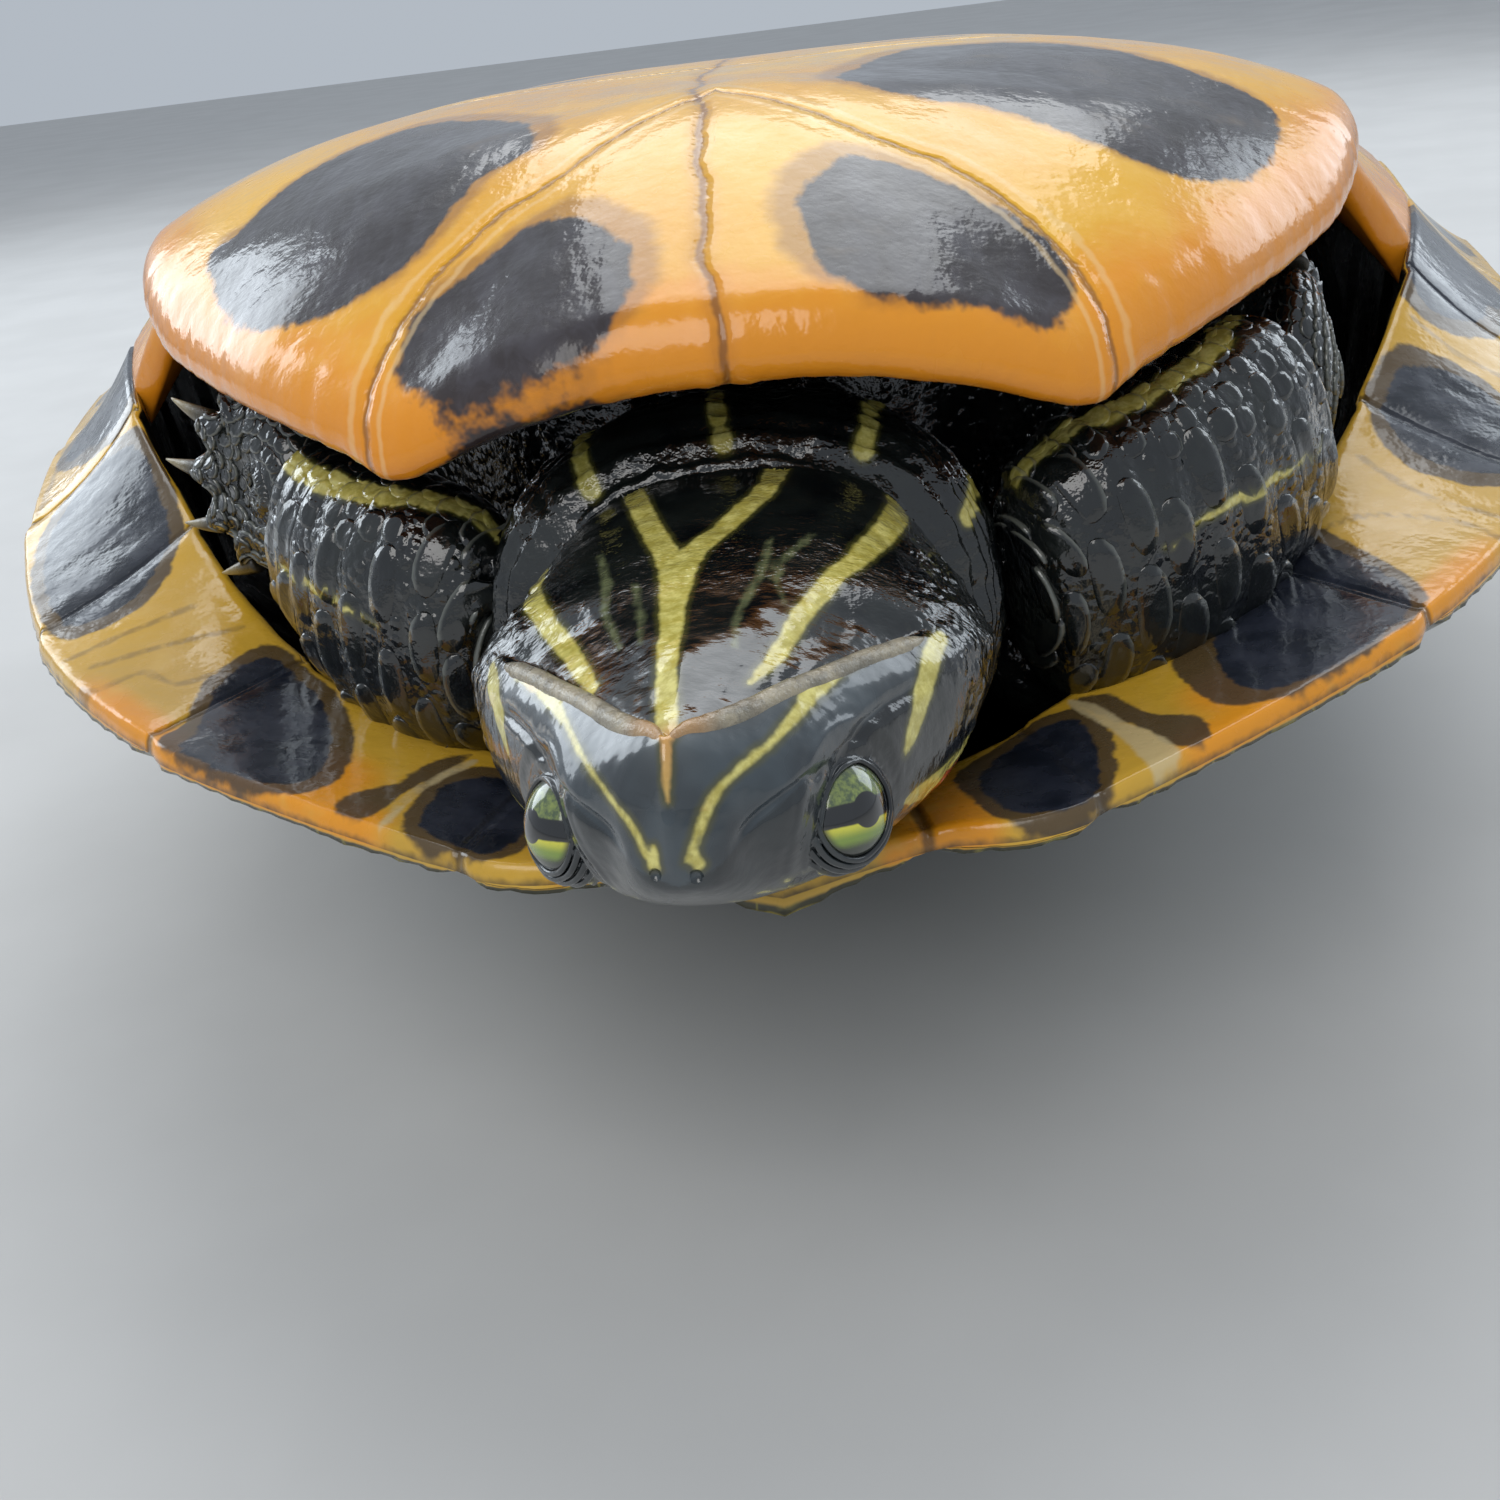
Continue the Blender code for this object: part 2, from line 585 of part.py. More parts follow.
# --- limbs: right side (+1) and left side (-1) ---
fore, hind, claws = [], [], []
FORE_NAMES = {1: "R", -1: "L"}
for side in (1, -1):
    tag = FORE_NAMES[side]
    s = lambda x, y, z, *r: (side * x, y, z, *r)
    # fore limb: elbow beside the head, hand against the inside of the rim
    hand_dir = (side * 0.34, 0.94, 0.0) if side > 0 else (side * 0.86, 0.44, 0.10)
    hand_at = s(55.6, 56.0, 18.4) if side > 0 else s(49.0, 49.0, 20.6)
    hand, tips = paddle("hand_" + tag, M_SKIN, hand_at, hand_dir, (0, 0.12, 1),
                        10.0, 10.6 if side > 0 else 9.5, 4.8, 5, 0.22)
    for n, (tip, d) in enumerate(tips, 1):
        if side > 0:      # this hand is clenched: its claws turn back under the arm
            d = (d + Vector((0.10, 0.55, 0.0))).normalized()
        claws.append(claw(f"claw_hand_{tag}_{n}", M_CLAW, tip, d, (0, 1, 0.2), 6.6, 1.2))
    # the right arm is spread further from the head than the left one
    if side > 0:
        fore_line = [s(23, 27, 9.0, 10, 6), s(29.5, 30, 10, 14, 8.2), s(38, 35.5, 11.8, 14.5, 9),
                     s(46, 42.2, 15.0, 13.5, 8.4), s(51.2, 47.6, 17.6, 11.5, 6.4)]
    else:
        fore_line = [s(23, 27, 9.0, 10, 6), s(28.5, 30, 10, 13.5, 8), s(35.5, 36, 11.5, 13.5, 8.5),
                     s(42, 43, 14.5, 12, 7.5), s(46.5, 47.5, 17.0, 10, 5.5)]
    forearm = limb("forearm_" + tag, M_SKIN, fore_line, 14, 9)
    upper = limb("upper_arm_" + tag, M_SKIN,
                 [s(40, 74, -6, 9, 9), s(37, 64, -6, 12, 10), s(32, 54, -3, 12, 10),
                  s(28, 44, 1, 12, 9), s(26, 35, 4, 10, 8)], 12, 8)
    fore.append((hand, forearm, upper))
    # hind limb: knee at the bridge, foot beside the tail
    foot, tips = paddle("foot_" + tag, M_SKIN, s(42, 225.0, 29.8), (-side * 0.82, 0.56, 0.0),
                        (0.2 * side, 0.75, 0.65), 18.0, 9.4, 4.6, 4, 0.20)
    for n, (tip, d) in enumerate(tips, 1):
        claws.append(claw(f"claw_foot_{tag}_{n}", M_CLAW, tip, d, (0, 0.2, 1), 7.0, 1.3))
    shin = limb("shin_" + tag, M_SKIN,
                [s(68, 183, 24, 9, 8), s(69, 190, 26, 11, 9.5), s(66, 201, 27.5, 11, 9),
                 s(60, 211, 28.5, 9.5, 7.5), s(54, 218, 29, 8.5, 6)], 12, 8)
    thigh = limb("thigh_" + tag, M_SKIN,
                 [s(28, 178, 4, 10, 10), s(38, 180, 8, 14, 13), s(50, 184, 14, 15, 13),
                  s(60, 187, 20, 13, 11), s(67, 187, 25, 10, 9)], 12, 8)
    hind.append((foot, shin, thigh))

tail = limb("tail", M_SKIN,
            [(0, 212, 22, 8, 9), (0, 224, 25, 7.5, 8), (2, 236, 28, 6, 6.5), (8, 246, 30, 4.6, 5),
             (18, 250.5, 31, 3.2, 3.4), (30, 248.5, 31, 1.9, 2.0), (39, 244, 31, 1.0, 1.0)], 8, 10)
neck = limb("neck", M_SKIN,
            [(-2, 18.5, 12, 16.5, 22.5), (-2, 24, 11, 19.0, 24.5), (-1.5, 31, 9, 20, 24),
             (-1, 40, 6, 20, 22), (0, 50, 2, 19, 20), (0, 62, -2, 17, 18)], 17, 9)


def surface_below(ob, default):
    """Height of an object's underside or inner side, met from the shell's middle."""
    def look(direction):
        def height(x, y):
            start = place((x, y, 10.0))
            hit, at, *_ = ob.ray_cast(start, Vector((0, 0, direction)))
            return at.z * 1000 + FLAT_LEVEL if hit else default
        return height
    return look


def soft(*parts):
    return [p for p in parts if p is not None]


shells = [carapace, plastron]
for (hand, forearm, upper), (foot, shin, thigh) in zip(fore, hind):
    tag = hand.name[-1]
    carve(hand, [c for c in claws if c.name.startswith("claw_hand_" + tag)] + shells)
    carve(foot, [c for c in claws if c.name.startswith("claw_foot_" + tag)] + shells)
    own = [c for c in claws if "_" + tag + "_" in c.name]
    carve(forearm, [hand, head, jaw] + shells)
    carve(upper, [hand, forearm, head] + shells)
    carve(shin, [foot] + shells)
    carve(thigh, [shin, foot] + shells)
carve(tail, [p for triple in hind for p in triple] + shells)
carve(neck, [head, jaw] + [p for triple in fore for p in triple] + shells)
trunk = build_trunk(M_SKIN, surface_below(carapace, -30.0)(-1.0), surface_below(plastron, 40.0)(1.0))
carve(trunk, shells, gap=0.6)
carve(trunk, [neck, tail] + [p for triple in fore + hind for p in triple])
for ob in (trunk, neck):
    tidy(ob, 0.06)

count = 0
for ob in list(COLLECTION.objects):
    ob.data.calc_loop_triangles()
    count += len(ob.data.loop_triangles)
    if ob.data.materials:
        continue
print("solids", len(COLLECTION.objects), "triangles", count)
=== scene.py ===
"""Looks of the red-eared slider: shells, skin, scales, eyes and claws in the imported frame."""
import math

import bmesh
import bpy
import numpy as np
from mathutils import Matrix, Vector
from mathutils.bvhtree import BVHTree


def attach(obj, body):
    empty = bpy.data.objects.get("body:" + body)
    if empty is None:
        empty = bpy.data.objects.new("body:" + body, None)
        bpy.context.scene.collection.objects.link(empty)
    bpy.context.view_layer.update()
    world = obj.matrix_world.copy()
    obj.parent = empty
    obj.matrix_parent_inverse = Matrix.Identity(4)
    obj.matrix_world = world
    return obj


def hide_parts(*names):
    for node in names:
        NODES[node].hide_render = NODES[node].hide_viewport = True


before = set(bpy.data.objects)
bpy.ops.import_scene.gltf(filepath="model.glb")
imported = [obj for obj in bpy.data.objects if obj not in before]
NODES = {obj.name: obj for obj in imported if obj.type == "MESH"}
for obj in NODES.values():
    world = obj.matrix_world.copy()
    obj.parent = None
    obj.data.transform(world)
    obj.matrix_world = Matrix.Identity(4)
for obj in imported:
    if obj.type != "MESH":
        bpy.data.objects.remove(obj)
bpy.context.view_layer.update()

# ------------------------------------------------------------------ frame --
FLAT_LEVEL, SPINE_LEVEL = -50.8, -52.0
SPINE_FRONT, SPINE_REAR = 122.0, 158.0
SHELL_THICK, RIM_THICK = 5.0, 2.2
PLASTRON_LEVEL, PLASTRON_THICK, LIP_THICK = 52.6, 4.6, 6.4
HEAD_SCALE, EYE_RADIUS, ORIGIN_Y = 0.97, 4.3, 119.57
RIM = [(0.0, 1.0, -5.0), (11.9, 1.5, -2.2), (25.8, 2.8, -0.9), (58.4, 23.8, 2.8),
       (78.9, 48.9, 5.4), (90.5, 76.0, 9.5), (97.5, 104.0, 12.0), (101.5, 132.0, 13.5),
       (103.0, 160.0, 14.0), (100.5, 188.0, 15.0), (91.0, 213.0, 16.8), (73.0, 236.0, 18.0),
       (43.0, 254.0, 18.5), (0.0, 262.0, 19.0)]
BAND_WIDTH = [17, 18, 19, 20, 20, 16, 13.5, 13, 13, 16, 20, 20, 20, 20]
BAND_RISE = [-5.0, -4.2, -1.6, 0.5, 7, 12, 13, 13, 12, 7.5, 5, 3.5, 2.5, 2]
WALL = [0.86, 0.87, 0.88, 0.92, 0.955, 0.975, 0.985, 0.985, 0.98, 0.96, 0.93, 0.90, 0.88, 0.87]
SLOPE = [0.85, 0.85, 0.85, 0.72, 0.42, 0.14, 0.04, 0.02, 0.04, 0.12, 0.22, 0.28, 0.32, 0.34]
FRONT_LOBE = [(0.0, 11.9, 39.3), (9.0, 12.2, 38.9), (19.0, 13.6, 36.6), (28.3, 16.6, 33.2),
              (33.3, 21.0, 34.6), (42.0, 30.0, 36.2), (51.0, 42.0, 37.2), (58.0, 52.0, 38.8),
              (63.0, 63.0, 41.4), (65.3, 72.0, 42.6), (66.3, 79.0, 41.0), (70.0, 84.5, 36.0)]
HIND_LOBE = [(80.0, 175.5, 31.0), (69.0, 178.5, 37.3), (62.0, 182.5, 41.4), (59.0, 190.0, 43.5),
             (57.0, 202.0, 44.4), (51.0, 219.0, 44.8), (39.0, 235.0, 44.6), (26.0, 244.5, 44.4),
             (17.0, 247.6, 44.3), (8.0, 243.8, 44.5), (0.0, 240.5, 44.7)]
BRIDGE_FROM, BRIDGE_TO = 5.25, 8.55
HEAD_TIP = np.array((-4.8, -21.3, 21.0))
HEAD_X = np.array((0.996, -0.087, -0.002))
HEAD_X /= np.linalg.norm(HEAD_X)
HEAD_V = np.array((0.023, 0.235, 0.972))
HEAD_V = HEAD_V - HEAD_X * (HEAD_V @ HEAD_X)
HEAD_V /= np.linalg.norm(HEAD_V)
HEAD_B = np.cross(HEAD_V, HEAD_X)
HEAD_STATIONS = [(0.0, 2.2, -8.6, -0.6), (1.6, 4.8, -10.2, 0.6), (4.0, 7.4, -11.6, 1.6),
                 (8.0, 10.0, -13.2, 3.0), (12.0, 12.0, -14.4, 4.2), (17.0, 15.2, -15.5, 5.6),
                 (23.0, 18.6, -15.6, 7.6), (30.0, 20.6, -15.4, 10.4), (38.0, 20.8, -14.6, 13.4),
                 (45.0, 19.2, -13.0, 14.6), (52.0, 14.5, -10.0, 12.5)]
EYE_AT = np.array((11.9, 11.5, -8.6))
EYE_AXIS = np.array((0.86, -0.38, -0.34))
EYE_AXIS /= np.linalg.norm(EYE_AXIS)
EYE_MID = np.array((8.7, 12.3, -8.0))
LOOK = np.array((0.72, -0.67, 0.16)) / math.sqrt(0.5184 + 0.4489 + 0.0256)      # way each pupil faces
LOOK /= np.linalg.norm(LOOK)


def place(p):
    p = np.asarray(p, float)
    return (p - np.array((0.0, ORIGIN_Y, FLAT_LEVEL))) * 0.001


def unplace(p):
    return np.asarray(p, float) * 1000.0 + np.array((0.0, ORIGIN_Y, FLAT_LEVEL))


def unit(v):
    v = np.asarray(v, float)
    return v / np.maximum(np.linalg.norm(v, axis=-1, keepdims=True), 1e-9)


def smooth(a, b, x):
    t = np.clip((np.asarray(x, float) - a) / (b - a), 0, 1)
    return t * t * (3 - 2 * t)


def spline(keys, t):
    """Catmull-Rom through equally spaced keys, vectorised over t in 0..1."""
    keys = np.asarray(keys, float)
    flat = keys.ndim == 1
    if flat:
        keys = keys[:, None]
    n = len(keys) - 1
    f = np.clip(np.asarray(t, float), 0, 1) * n
    i = np.minimum(f.astype(int), n - 1)
    f = (f - i)[..., None]
    a, b = keys[np.maximum(i - 1, 0)], keys[i]
    c, d = keys[i + 1], keys[np.minimum(i + 2, n)]
    r = 0.5 * (2 * b + (c - a) * f + (2 * a - 5 * b + 4 * c - d) * f * f
               + (3 * b - a - 3 * c + d) * f ** 3)
    return r[..., 0] if flat else r


def table(keys, x):
    """Monotone cubic look-up of a table by its first column."""
    k = np.asarray(keys, float)
    xs, ys = k[:, 0], k[:, 1:]
    h = np.diff(xs)[:, None]
    dl = np.diff(ys, axis=0) / h
    m = np.zeros_like(ys)
    m[0], m[-1] = dl[0], dl[-1]
    prod = dl[:-1] * dl[1:]
    m[1:-1] = np.where(prod > 0, 2 * prod / np.where(np.abs(dl[:-1] + dl[1:]) < 1e-9, 1, dl[:-1] + dl[1:]), 0)
    x = np.clip(np.asarray(x, float), xs[0], xs[-1])
    i = np.clip(np.searchsorted(xs, x, side="right") - 1, 0, len(xs) - 2)
    hh = (xs[i + 1] - xs[i])[..., None]
    t = ((x - xs[i])[..., None]) / hh
    return ((2 * t ** 3 - 3 * t ** 2 + 1) * ys[i] + (t ** 3 - 2 * t ** 2 + t) * hh * m[i]
            + (-2 * t ** 3 + 3 * t ** 2) * ys[i + 1] + (t ** 3 - t ** 2) * hh * m[i + 1])


def noise(p, size, seed=0):
    """Smooth value noise in -1..1 with cells of the given size."""
    p = np.asarray(p, float) / size
    i = np.floor(p).astype(np.int64)
    f = p - i
    f = f * f * f * (f * (f * 6 - 15) + 10)

    def h(dx, dy, dz):
        n = ((i[..., 0] + dx) * 73856093) ^ ((i[..., 1] + dy) * 19349663) ^ ((i[..., 2] + dz) * 83492791) ^ (seed * 265443)
        n = ((n ^ (n >> 13)) * 1274126177) & 0x7fffffff
        return ((n ^ (n >> 15)) & 0xffff) / 32767.5 - 1.0
    x, y, z = f[..., 0], f[..., 1], f[..., 2]
    a = h(0, 0, 0) * (1 - x) + h(1, 0, 0) * x
    b = h(0, 1, 0) * (1 - x) + h(1, 1, 0) * x
    c = h(0, 0, 1) * (1 - x) + h(1, 0, 1) * x
    d = h(0, 1, 1) * (1 - x) + h(1, 1, 1) * x
    return (a * (1 - y) + b * y) * (1 - z) + (c * (1 - y) + d * y) * z


def fbm(p, size, seed=0, octaves=3):
    r, amp = 0.0, 1.0
    for o in range(octaves):
        r = r + amp * noise(p, size / 2 ** o, seed + o)
        amp *= 0.5
    return r / 1.75


def closed_curve(pts, n=48):
    k = np.asarray(pts, float)
    m = len(k)
    t = np.arange(n) / n * m
    i = t.astype(int)
    f = (t - i)[:, None]
    a, b, c, d = k[(i - 1) % m], k[i % m], k[(i + 1) % m], k[(i + 2) % m]
    return 0.5 * (2 * b + (c - a) * f + (2 * a - 5 * b + 4 * c - d) * f * f + (3 * b - a - 3 * c + d) * f ** 3)


def inside_distance(pts, poly):
    """Signed distance in mm to a closed polygon, negative inside."""
    a, b = poly, np.roll(poly, -1, 0)
    d2 = np.full(len(pts), 1e18)
    sign = np.ones(len(pts))
    for p, q in zip(a, b):
        e = q - p
        w = pts - p
        t = np.clip((w @ e) / max(e @ e, 1e-12), 0, 1)
        r = w - t[:, None] * e
        d2 = np.minimum(d2, (r * r).sum(1))
        c1, c2, c3 = pts[:, 1] >= p[1], pts[:, 1] < q[1], e[0] * w[:, 1] > e[1] * w[:, 0]
        sign = np.where((c1 & c2 & c3) | (~c1 & ~c2 & ~c3), -sign, sign)
    return np.sqrt(d2) * sign


def line_distance(pts, line, widths):
    """Distance to an open polyline less its half width there."""
    best = np.full(len(pts), 1e9)
    line = np.asarray(line, float)
    widths = np.broadcast_to(np.asarray(widths, float), (len(line),))
    for p, q, wa, wb in zip(line, line[1:], widths, widths[1:]):
        e = q - p
        w = pts - p
        t = np.clip((w @ e) / max(e @ e, 1e-12), 0, 1)
        r = np.linalg.norm(w - t[:, None] * e, axis=1) - (wa + (wb - wa) * t)
        best = np.minimum(best, r)
    return best


# ------------------------------------------------------------------ meshes --
def new_object(name, verts, faces, mats, smooth_shade=True):
    me = bpy.data.meshes.new(name)
    me.from_pydata(np.asarray(verts, float).tolist(), [], [tuple(f) for f in faces])
    me.validate()
    ob = bpy.data.objects.new(name, me)
    bpy.context.scene.collection.objects.link(ob)
    for m in mats:
        me.materials.append(m)
    if smooth_shade:
        me.shade_smooth()
    return ob


def outwards(ob):
    bm = bmesh.new()
    bm.from_mesh(ob.data)
    bmesh.ops.recalc_face_normals(bm, faces=bm.faces[:])
    if bm.calc_volume(signed=True) < 0:
        bmesh.ops.reverse_faces(bm, faces=bm.faces[:])
    bm.to_mesh(ob.data)
    bm.free()


def attribute(ob, name, values):
    at = ob.data.attributes.new(name, "FLOAT", "POINT")
    at.data.foreach_set("value", np.ascontiguousarray(values, np.float32))


def coords(ob):
    co = np.zeros(len(ob.data.vertices) * 3)
    ob.data.vertices.foreach_get("co", co)
    return co.reshape(-1, 3)


def grid_normals(g, wrap=True):
    du = np.roll(g, -1, 0) - np.roll(g, 1, 0) if wrap else np.gradient(g, axis=0)
    dv = np.gradient(g, axis=1)
    return unit(np.cross(du, dv))


def ring_grid(name, g, mats):
    """Closed body from g[column, row]; columns run round, first and last rows fold shut at x = 0."""
    nc, nr = g.shape[:2]
    idx = np.arange(nc * nr).reshape(nc, nr)
    mirror = (-np.arange(nc)) % nc
    for r in (0, nr - 1):
        idx[:, r] = np.where(np.arange(nc) <= nc // 2, idx[:, r], idx[mirror, r])
    used, inv = np.unique(idx, return_inverse=True)
    idx = inv.reshape(nc, nr)
    flat = g.reshape(-1, 3)[used]
    a, b = idx[:, :-1], np.roll(idx, -1, 0)[:, :-1]
    c, d = np.roll(idx, -1, 0)[:, 1:], idx[:, 1:]
    quads = np.stack([a, b, c, d], -1).reshape(-1, 4)
    faces = []
    for q in quads.tolist():
        s = []
        for v in q:
            if v not in s:
                s.append(v)
        if len(s) > 2:
            faces.append(s)
    ob = new_object(name, place(flat), faces, mats)
    outwards(ob)
    return ob, used


def tube_grid(name, g, mats=(), ends=True):
    """Closed body from g[ring, segment] with a fan at each end."""
    nr, ns = g.shape[:2]
    verts = np.concatenate([g.reshape(-1, 3), g[0].mean(0)[None], g[-1].mean(0)[None]])
    i = np.arange(nr * ns).reshape(nr, ns)
    a, b = i[:-1], np.roll(i, -1, 1)[:-1]
    c, d = np.roll(i, -1, 1)[1:], i[1:]
    faces = np.stack([a, b, c, d], -1).reshape(-1, 4).tolist()
    f0, f1 = nr * ns, nr * ns + 1
    for s in range(ns):
        faces.append([f0, i[0, (s + 1) % ns], i[0, s]])
        faces.append([f1, i[-1, s], i[-1, (s + 1) % ns]])
    ob = new_object(name, place(verts), faces, mats)
    outwards(ob)
    return ob


# --------------------------------------------------------------- materials --
def rgb(h):
    v = [int(h[i:i + 2], 16) / 255 for i in (1, 3, 5)]
    return tuple(c / 12.92 if c <= 0.04045 else ((c + 0.055) / 1.055) ** 2.4 for c in v)


class Shader:
    def __init__(self, name):
        self.m = bpy.data.materials.new(name)
        self.m.use_nodes = True
        self.t = self.m.node_tree
        self.b = self.t.nodes["Principled BSDF"]
        self.co = self.t.nodes.new("ShaderNodeTexCoord").outputs["Object"]
        self.kept = {}

    def put(self, sock, v):
        if isinstance(v, bpy.types.NodeSocket):
            self.t.links.new(v, sock)
        elif isinstance(v, tuple) and len(v) == 3 and sock.type == "RGBA":
            sock.default_value = (*v, 1.0)
        else:
            sock.default_value = v

    def attr(self, name):
        n = self.t.nodes.new("ShaderNodeAttribute")
        n.attribute_name = name
        return n.outputs["Fac"]

    def stretch(self, x, y, z):
        n = self.t.nodes.new("ShaderNodeMapping")
        self.t.links.new(self.co, n.inputs["Vector"])
        n.inputs["Scale"].default_value = (x, y, z)
        return n.outputs["Vector"]

    def noise(self, mm, detail=3.0, rough=0.55, vec=None, dist=0.0):
        n = self.t.nodes.new("ShaderNodeTexNoise")
        self.t.links.new(vec or self.co, n.inputs["Vector"])
        n.inputs["Scale"].default_value = 1000.0 / mm
        n.inputs["Detail"].default_value = detail
        n.inputs["Roughness"].default_value = rough
        n.inputs["Distortion"].default_value = dist
        return n.outputs["Fac"]

    def cells(self, mm, feature="DISTANCE_TO_EDGE", vec=None, out="Distance"):
        n = self.t.nodes.new("ShaderNodeTexVoronoi")
        n.feature = feature
        self.t.links.new(vec or self.co, n.inputs["Vector"])
        n.inputs["Scale"].default_value = 1000.0 / mm
        return n.outputs[out]

    def math(self, op, a, b=0.0, clamp=False):
        n = self.t.nodes.new("ShaderNodeMath")
        n.operation = op
        n.use_clamp = clamp
        self.put(n.inputs[0], a)
        self.put(n.inputs[1], b)
        return n.outputs[0]

    def ramp(self, v, a, b, c=0.0, d=1.0):
        n = self.t.nodes.new("ShaderNodeMapRange")
        n.interpolation_type = "SMOOTHSTEP"
        self.put(n.inputs["Value"], v)
        for k, x in zip(("From Min", "From Max", "To Min", "To Max"), (a, b, c, d)):
            n.inputs[k].default_value = x
        return n.outputs["Result"]

    def mix(self, f, a, b):
        n = self.t.nodes.new("ShaderNodeMix")
        n.data_type = "RGBA"
        self.put(n.inputs[0], f)
        self.put(n.inputs[6], a)
        self.put(n.inputs[7], b)
        return n.outputs[2]

    def wobble(self, d, amount, mm, seed=0.0):
        """A distance attribute with a ragged edge."""
        mm = min((1.6, 2.6, 4.6), key=lambda k: abs(math.log(k / mm)))
        if mm not in self.kept:
            self.kept[mm] = self.noise(mm, 2.5, 0.6)
        n = self.kept[mm]
        return self.math("ADD", d, self.math("MULTIPLY", self.math("SUBTRACT", n, 0.5), amount * 2))

    def bump(self, h, dist, strength=1.0, under=None):
        n = self.t.nodes.new("ShaderNodeBump")
        self.put(n.inputs["Height"], h)
        n.inputs["Distance"].default_value = dist * 0.001
        n.inputs["Strength"].default_value = strength
        if under is not None:
            self.t.links.new(under, n.inputs["Normal"])
        return n.outputs["Normal"]

    def done(self, colour, rough, normal=None, coat=0.0, coat_rough=0.1, spec=0.5, sss=0.0):
        self.put(self.b.inputs["Base Color"], colour)
        self.put(self.b.inputs["Roughness"], rough)
        self.b.inputs["Specular IOR Level"].default_value = spec
        self.b.inputs["Coat Weight"].default_value = coat
        self.b.inputs["Coat Roughness"].default_value = coat_rough
        if sss:
            self.b.inputs["Subsurface Weight"].default_value = sss
            self.b.inputs["Subsurface Radius"].default_value = (0.0014, 0.0007, 0.0003)
            self.b.inputs["Subsurface Scale"].default_value = 1.0
        if normal is not None:
            self.t.links.new(normal, self.b.inputs["Normal"])
            if coat:
                self.t.links.new(normal, self.b.inputs["Coat Normal"])
        return self.m


def carapace_material():
    s = Shader("carapace_horn")
    region, dark = s.attr("region"), s.attr("dark")
    seam, orange, lines = s.attr("seam"), s.attr("orange"), s.attr("lines")
    edge_in, halo = s.attr("edge_in"), s.attr("halo")
    large, mid, fine = s.noise(26, 1), s.noise(4.0, 3), s.noise(0.9, 2)
    # underside of the marginals
    yellow = s.mix(s.ramp(large, 0.35, 0.65), rgb("#D8A932"), rgb("#C99E38"))
    col = s.mix(s.ramp(orange, 0.25, 1.0, 0.0, 0.85), yellow, rgb("#EA9412"))
    col = s.mix(s.ramp(mid, 0.55, 0.75, 0.0, 0.35), col, rgb("#D9B45A"))
    ln = s.math("ABSOLUTE", s.wobble(lines, 0.5, 3.0))
    col = s.mix(s.ramp(ln, 0.15, 0.8, 0.5, 0.0), col, rgb("#6A5028"))
    hl = s.wobble(halo, 0.8, 2.5)
    col = s.mix(s.ramp(hl, -0.25, 0.35, 0.94, 0.0), col, rgb("#4B3D2C"))
    pale = s.wobble(s.attr("pale"), 0.3, 1.5)
    col = s.mix(s.ramp(pale, -0.3, 0.3, 0.8, 0.0), col, rgb("#CDB98A"))
    sm = s.math("ABSOLUTE", s.wobble(seam, 0.25, 2.0))
    col = s.mix(s.ramp(sm, 0.2, 0.75, 0.75, 0.0), col, rgb("#4A3A22"))
    dk = s.wobble(dark, 0.7, 2.0)
    black = s.mix(s.ramp(mid, 0.3, 0.7), rgb("#1A1E27"), rgb("#2B2F3B"))
    col = s.mix(s.ramp(dk, -0.2, 0.3, 1.0, 0.0), col, black)
    col = s.mix(s.ramp(s.wobble(edge_in, 0.4, 1.6), 0.1, 0.9, 0.9, 0.0), col, rgb("#3A2E1C"))
    # outer side: dark olive with worn yellowish bars
    vec = s.stretch(1.0, 1.0, 0.6)
    bars = s.noise(15, 1.0, 0.5, vec, 1.4)
    ring = s.math("FRACT", s.math("MULTIPLY", bars, 9.0))
    ring = s.math("ABSOLUTE", s.math("SUBTRACT", ring, 0.5))
    olive = s.mix(s.ramp(large, 0.3, 0.7), rgb("#2E2F1C"), rgb("#43402A"))
    olive = s.mix(s.ramp(ring, 0.0, 0.13, 0.75, 0.0), olive, rgb("#8A8038"))
    bar = s.wobble(s.attr("bar"), 1.4, 5.0)
    olive = s.mix(s.ramp(bar, -0.6, 0.8, 0.8, 0.0), olive, rgb("#9A8A3C"))
    olive = s.mix(s.ramp(fine, 0.5, 0.8, 0.0, 0.45), olive, rgb("#1B1C13"))
    oseam = s.math("ABSOLUTE", s.wobble(s.attr("oseam"), 0.4, 3.0))
    olive = s.mix(s.ramp(oseam, 0.3, 1.3, 0.85, 0.0), olive, rgb("#100F0A"))
    col = s.mix(s.ramp(region, 0.35, 0.65), olive, col)
    col = s.mix(s.ramp(region, 1.3, 1.7), col, s.mix(mid, rgb("#14130F"), rgb("#26231B")))
    grow = s.math("SINE", s.math("MULTIPLY", s.wobble(s.attr("grow"), 0.8, 5.0), 2.3))
    n1 = s.bump(s.math("ADD", s.math("MULTIPLY", mid, 0.4), s.math("MULTIPLY", grow, 0.02)), 0.6, 0.4)
    n2 = s.bump(s.noise(1.8, 2, 0.6), 0.14, 0.5, n1)
    n3 = s.bump(s.ramp(sm, 0.0, 0.9), 0.35, 0.7, n2)
    rough = s.ramp(mid, 0.3, 0.75, 0.16, 0.40)
    return s.done(col, rough, n3, coat=0.40, coat_rough=0.09, spec=0.4)


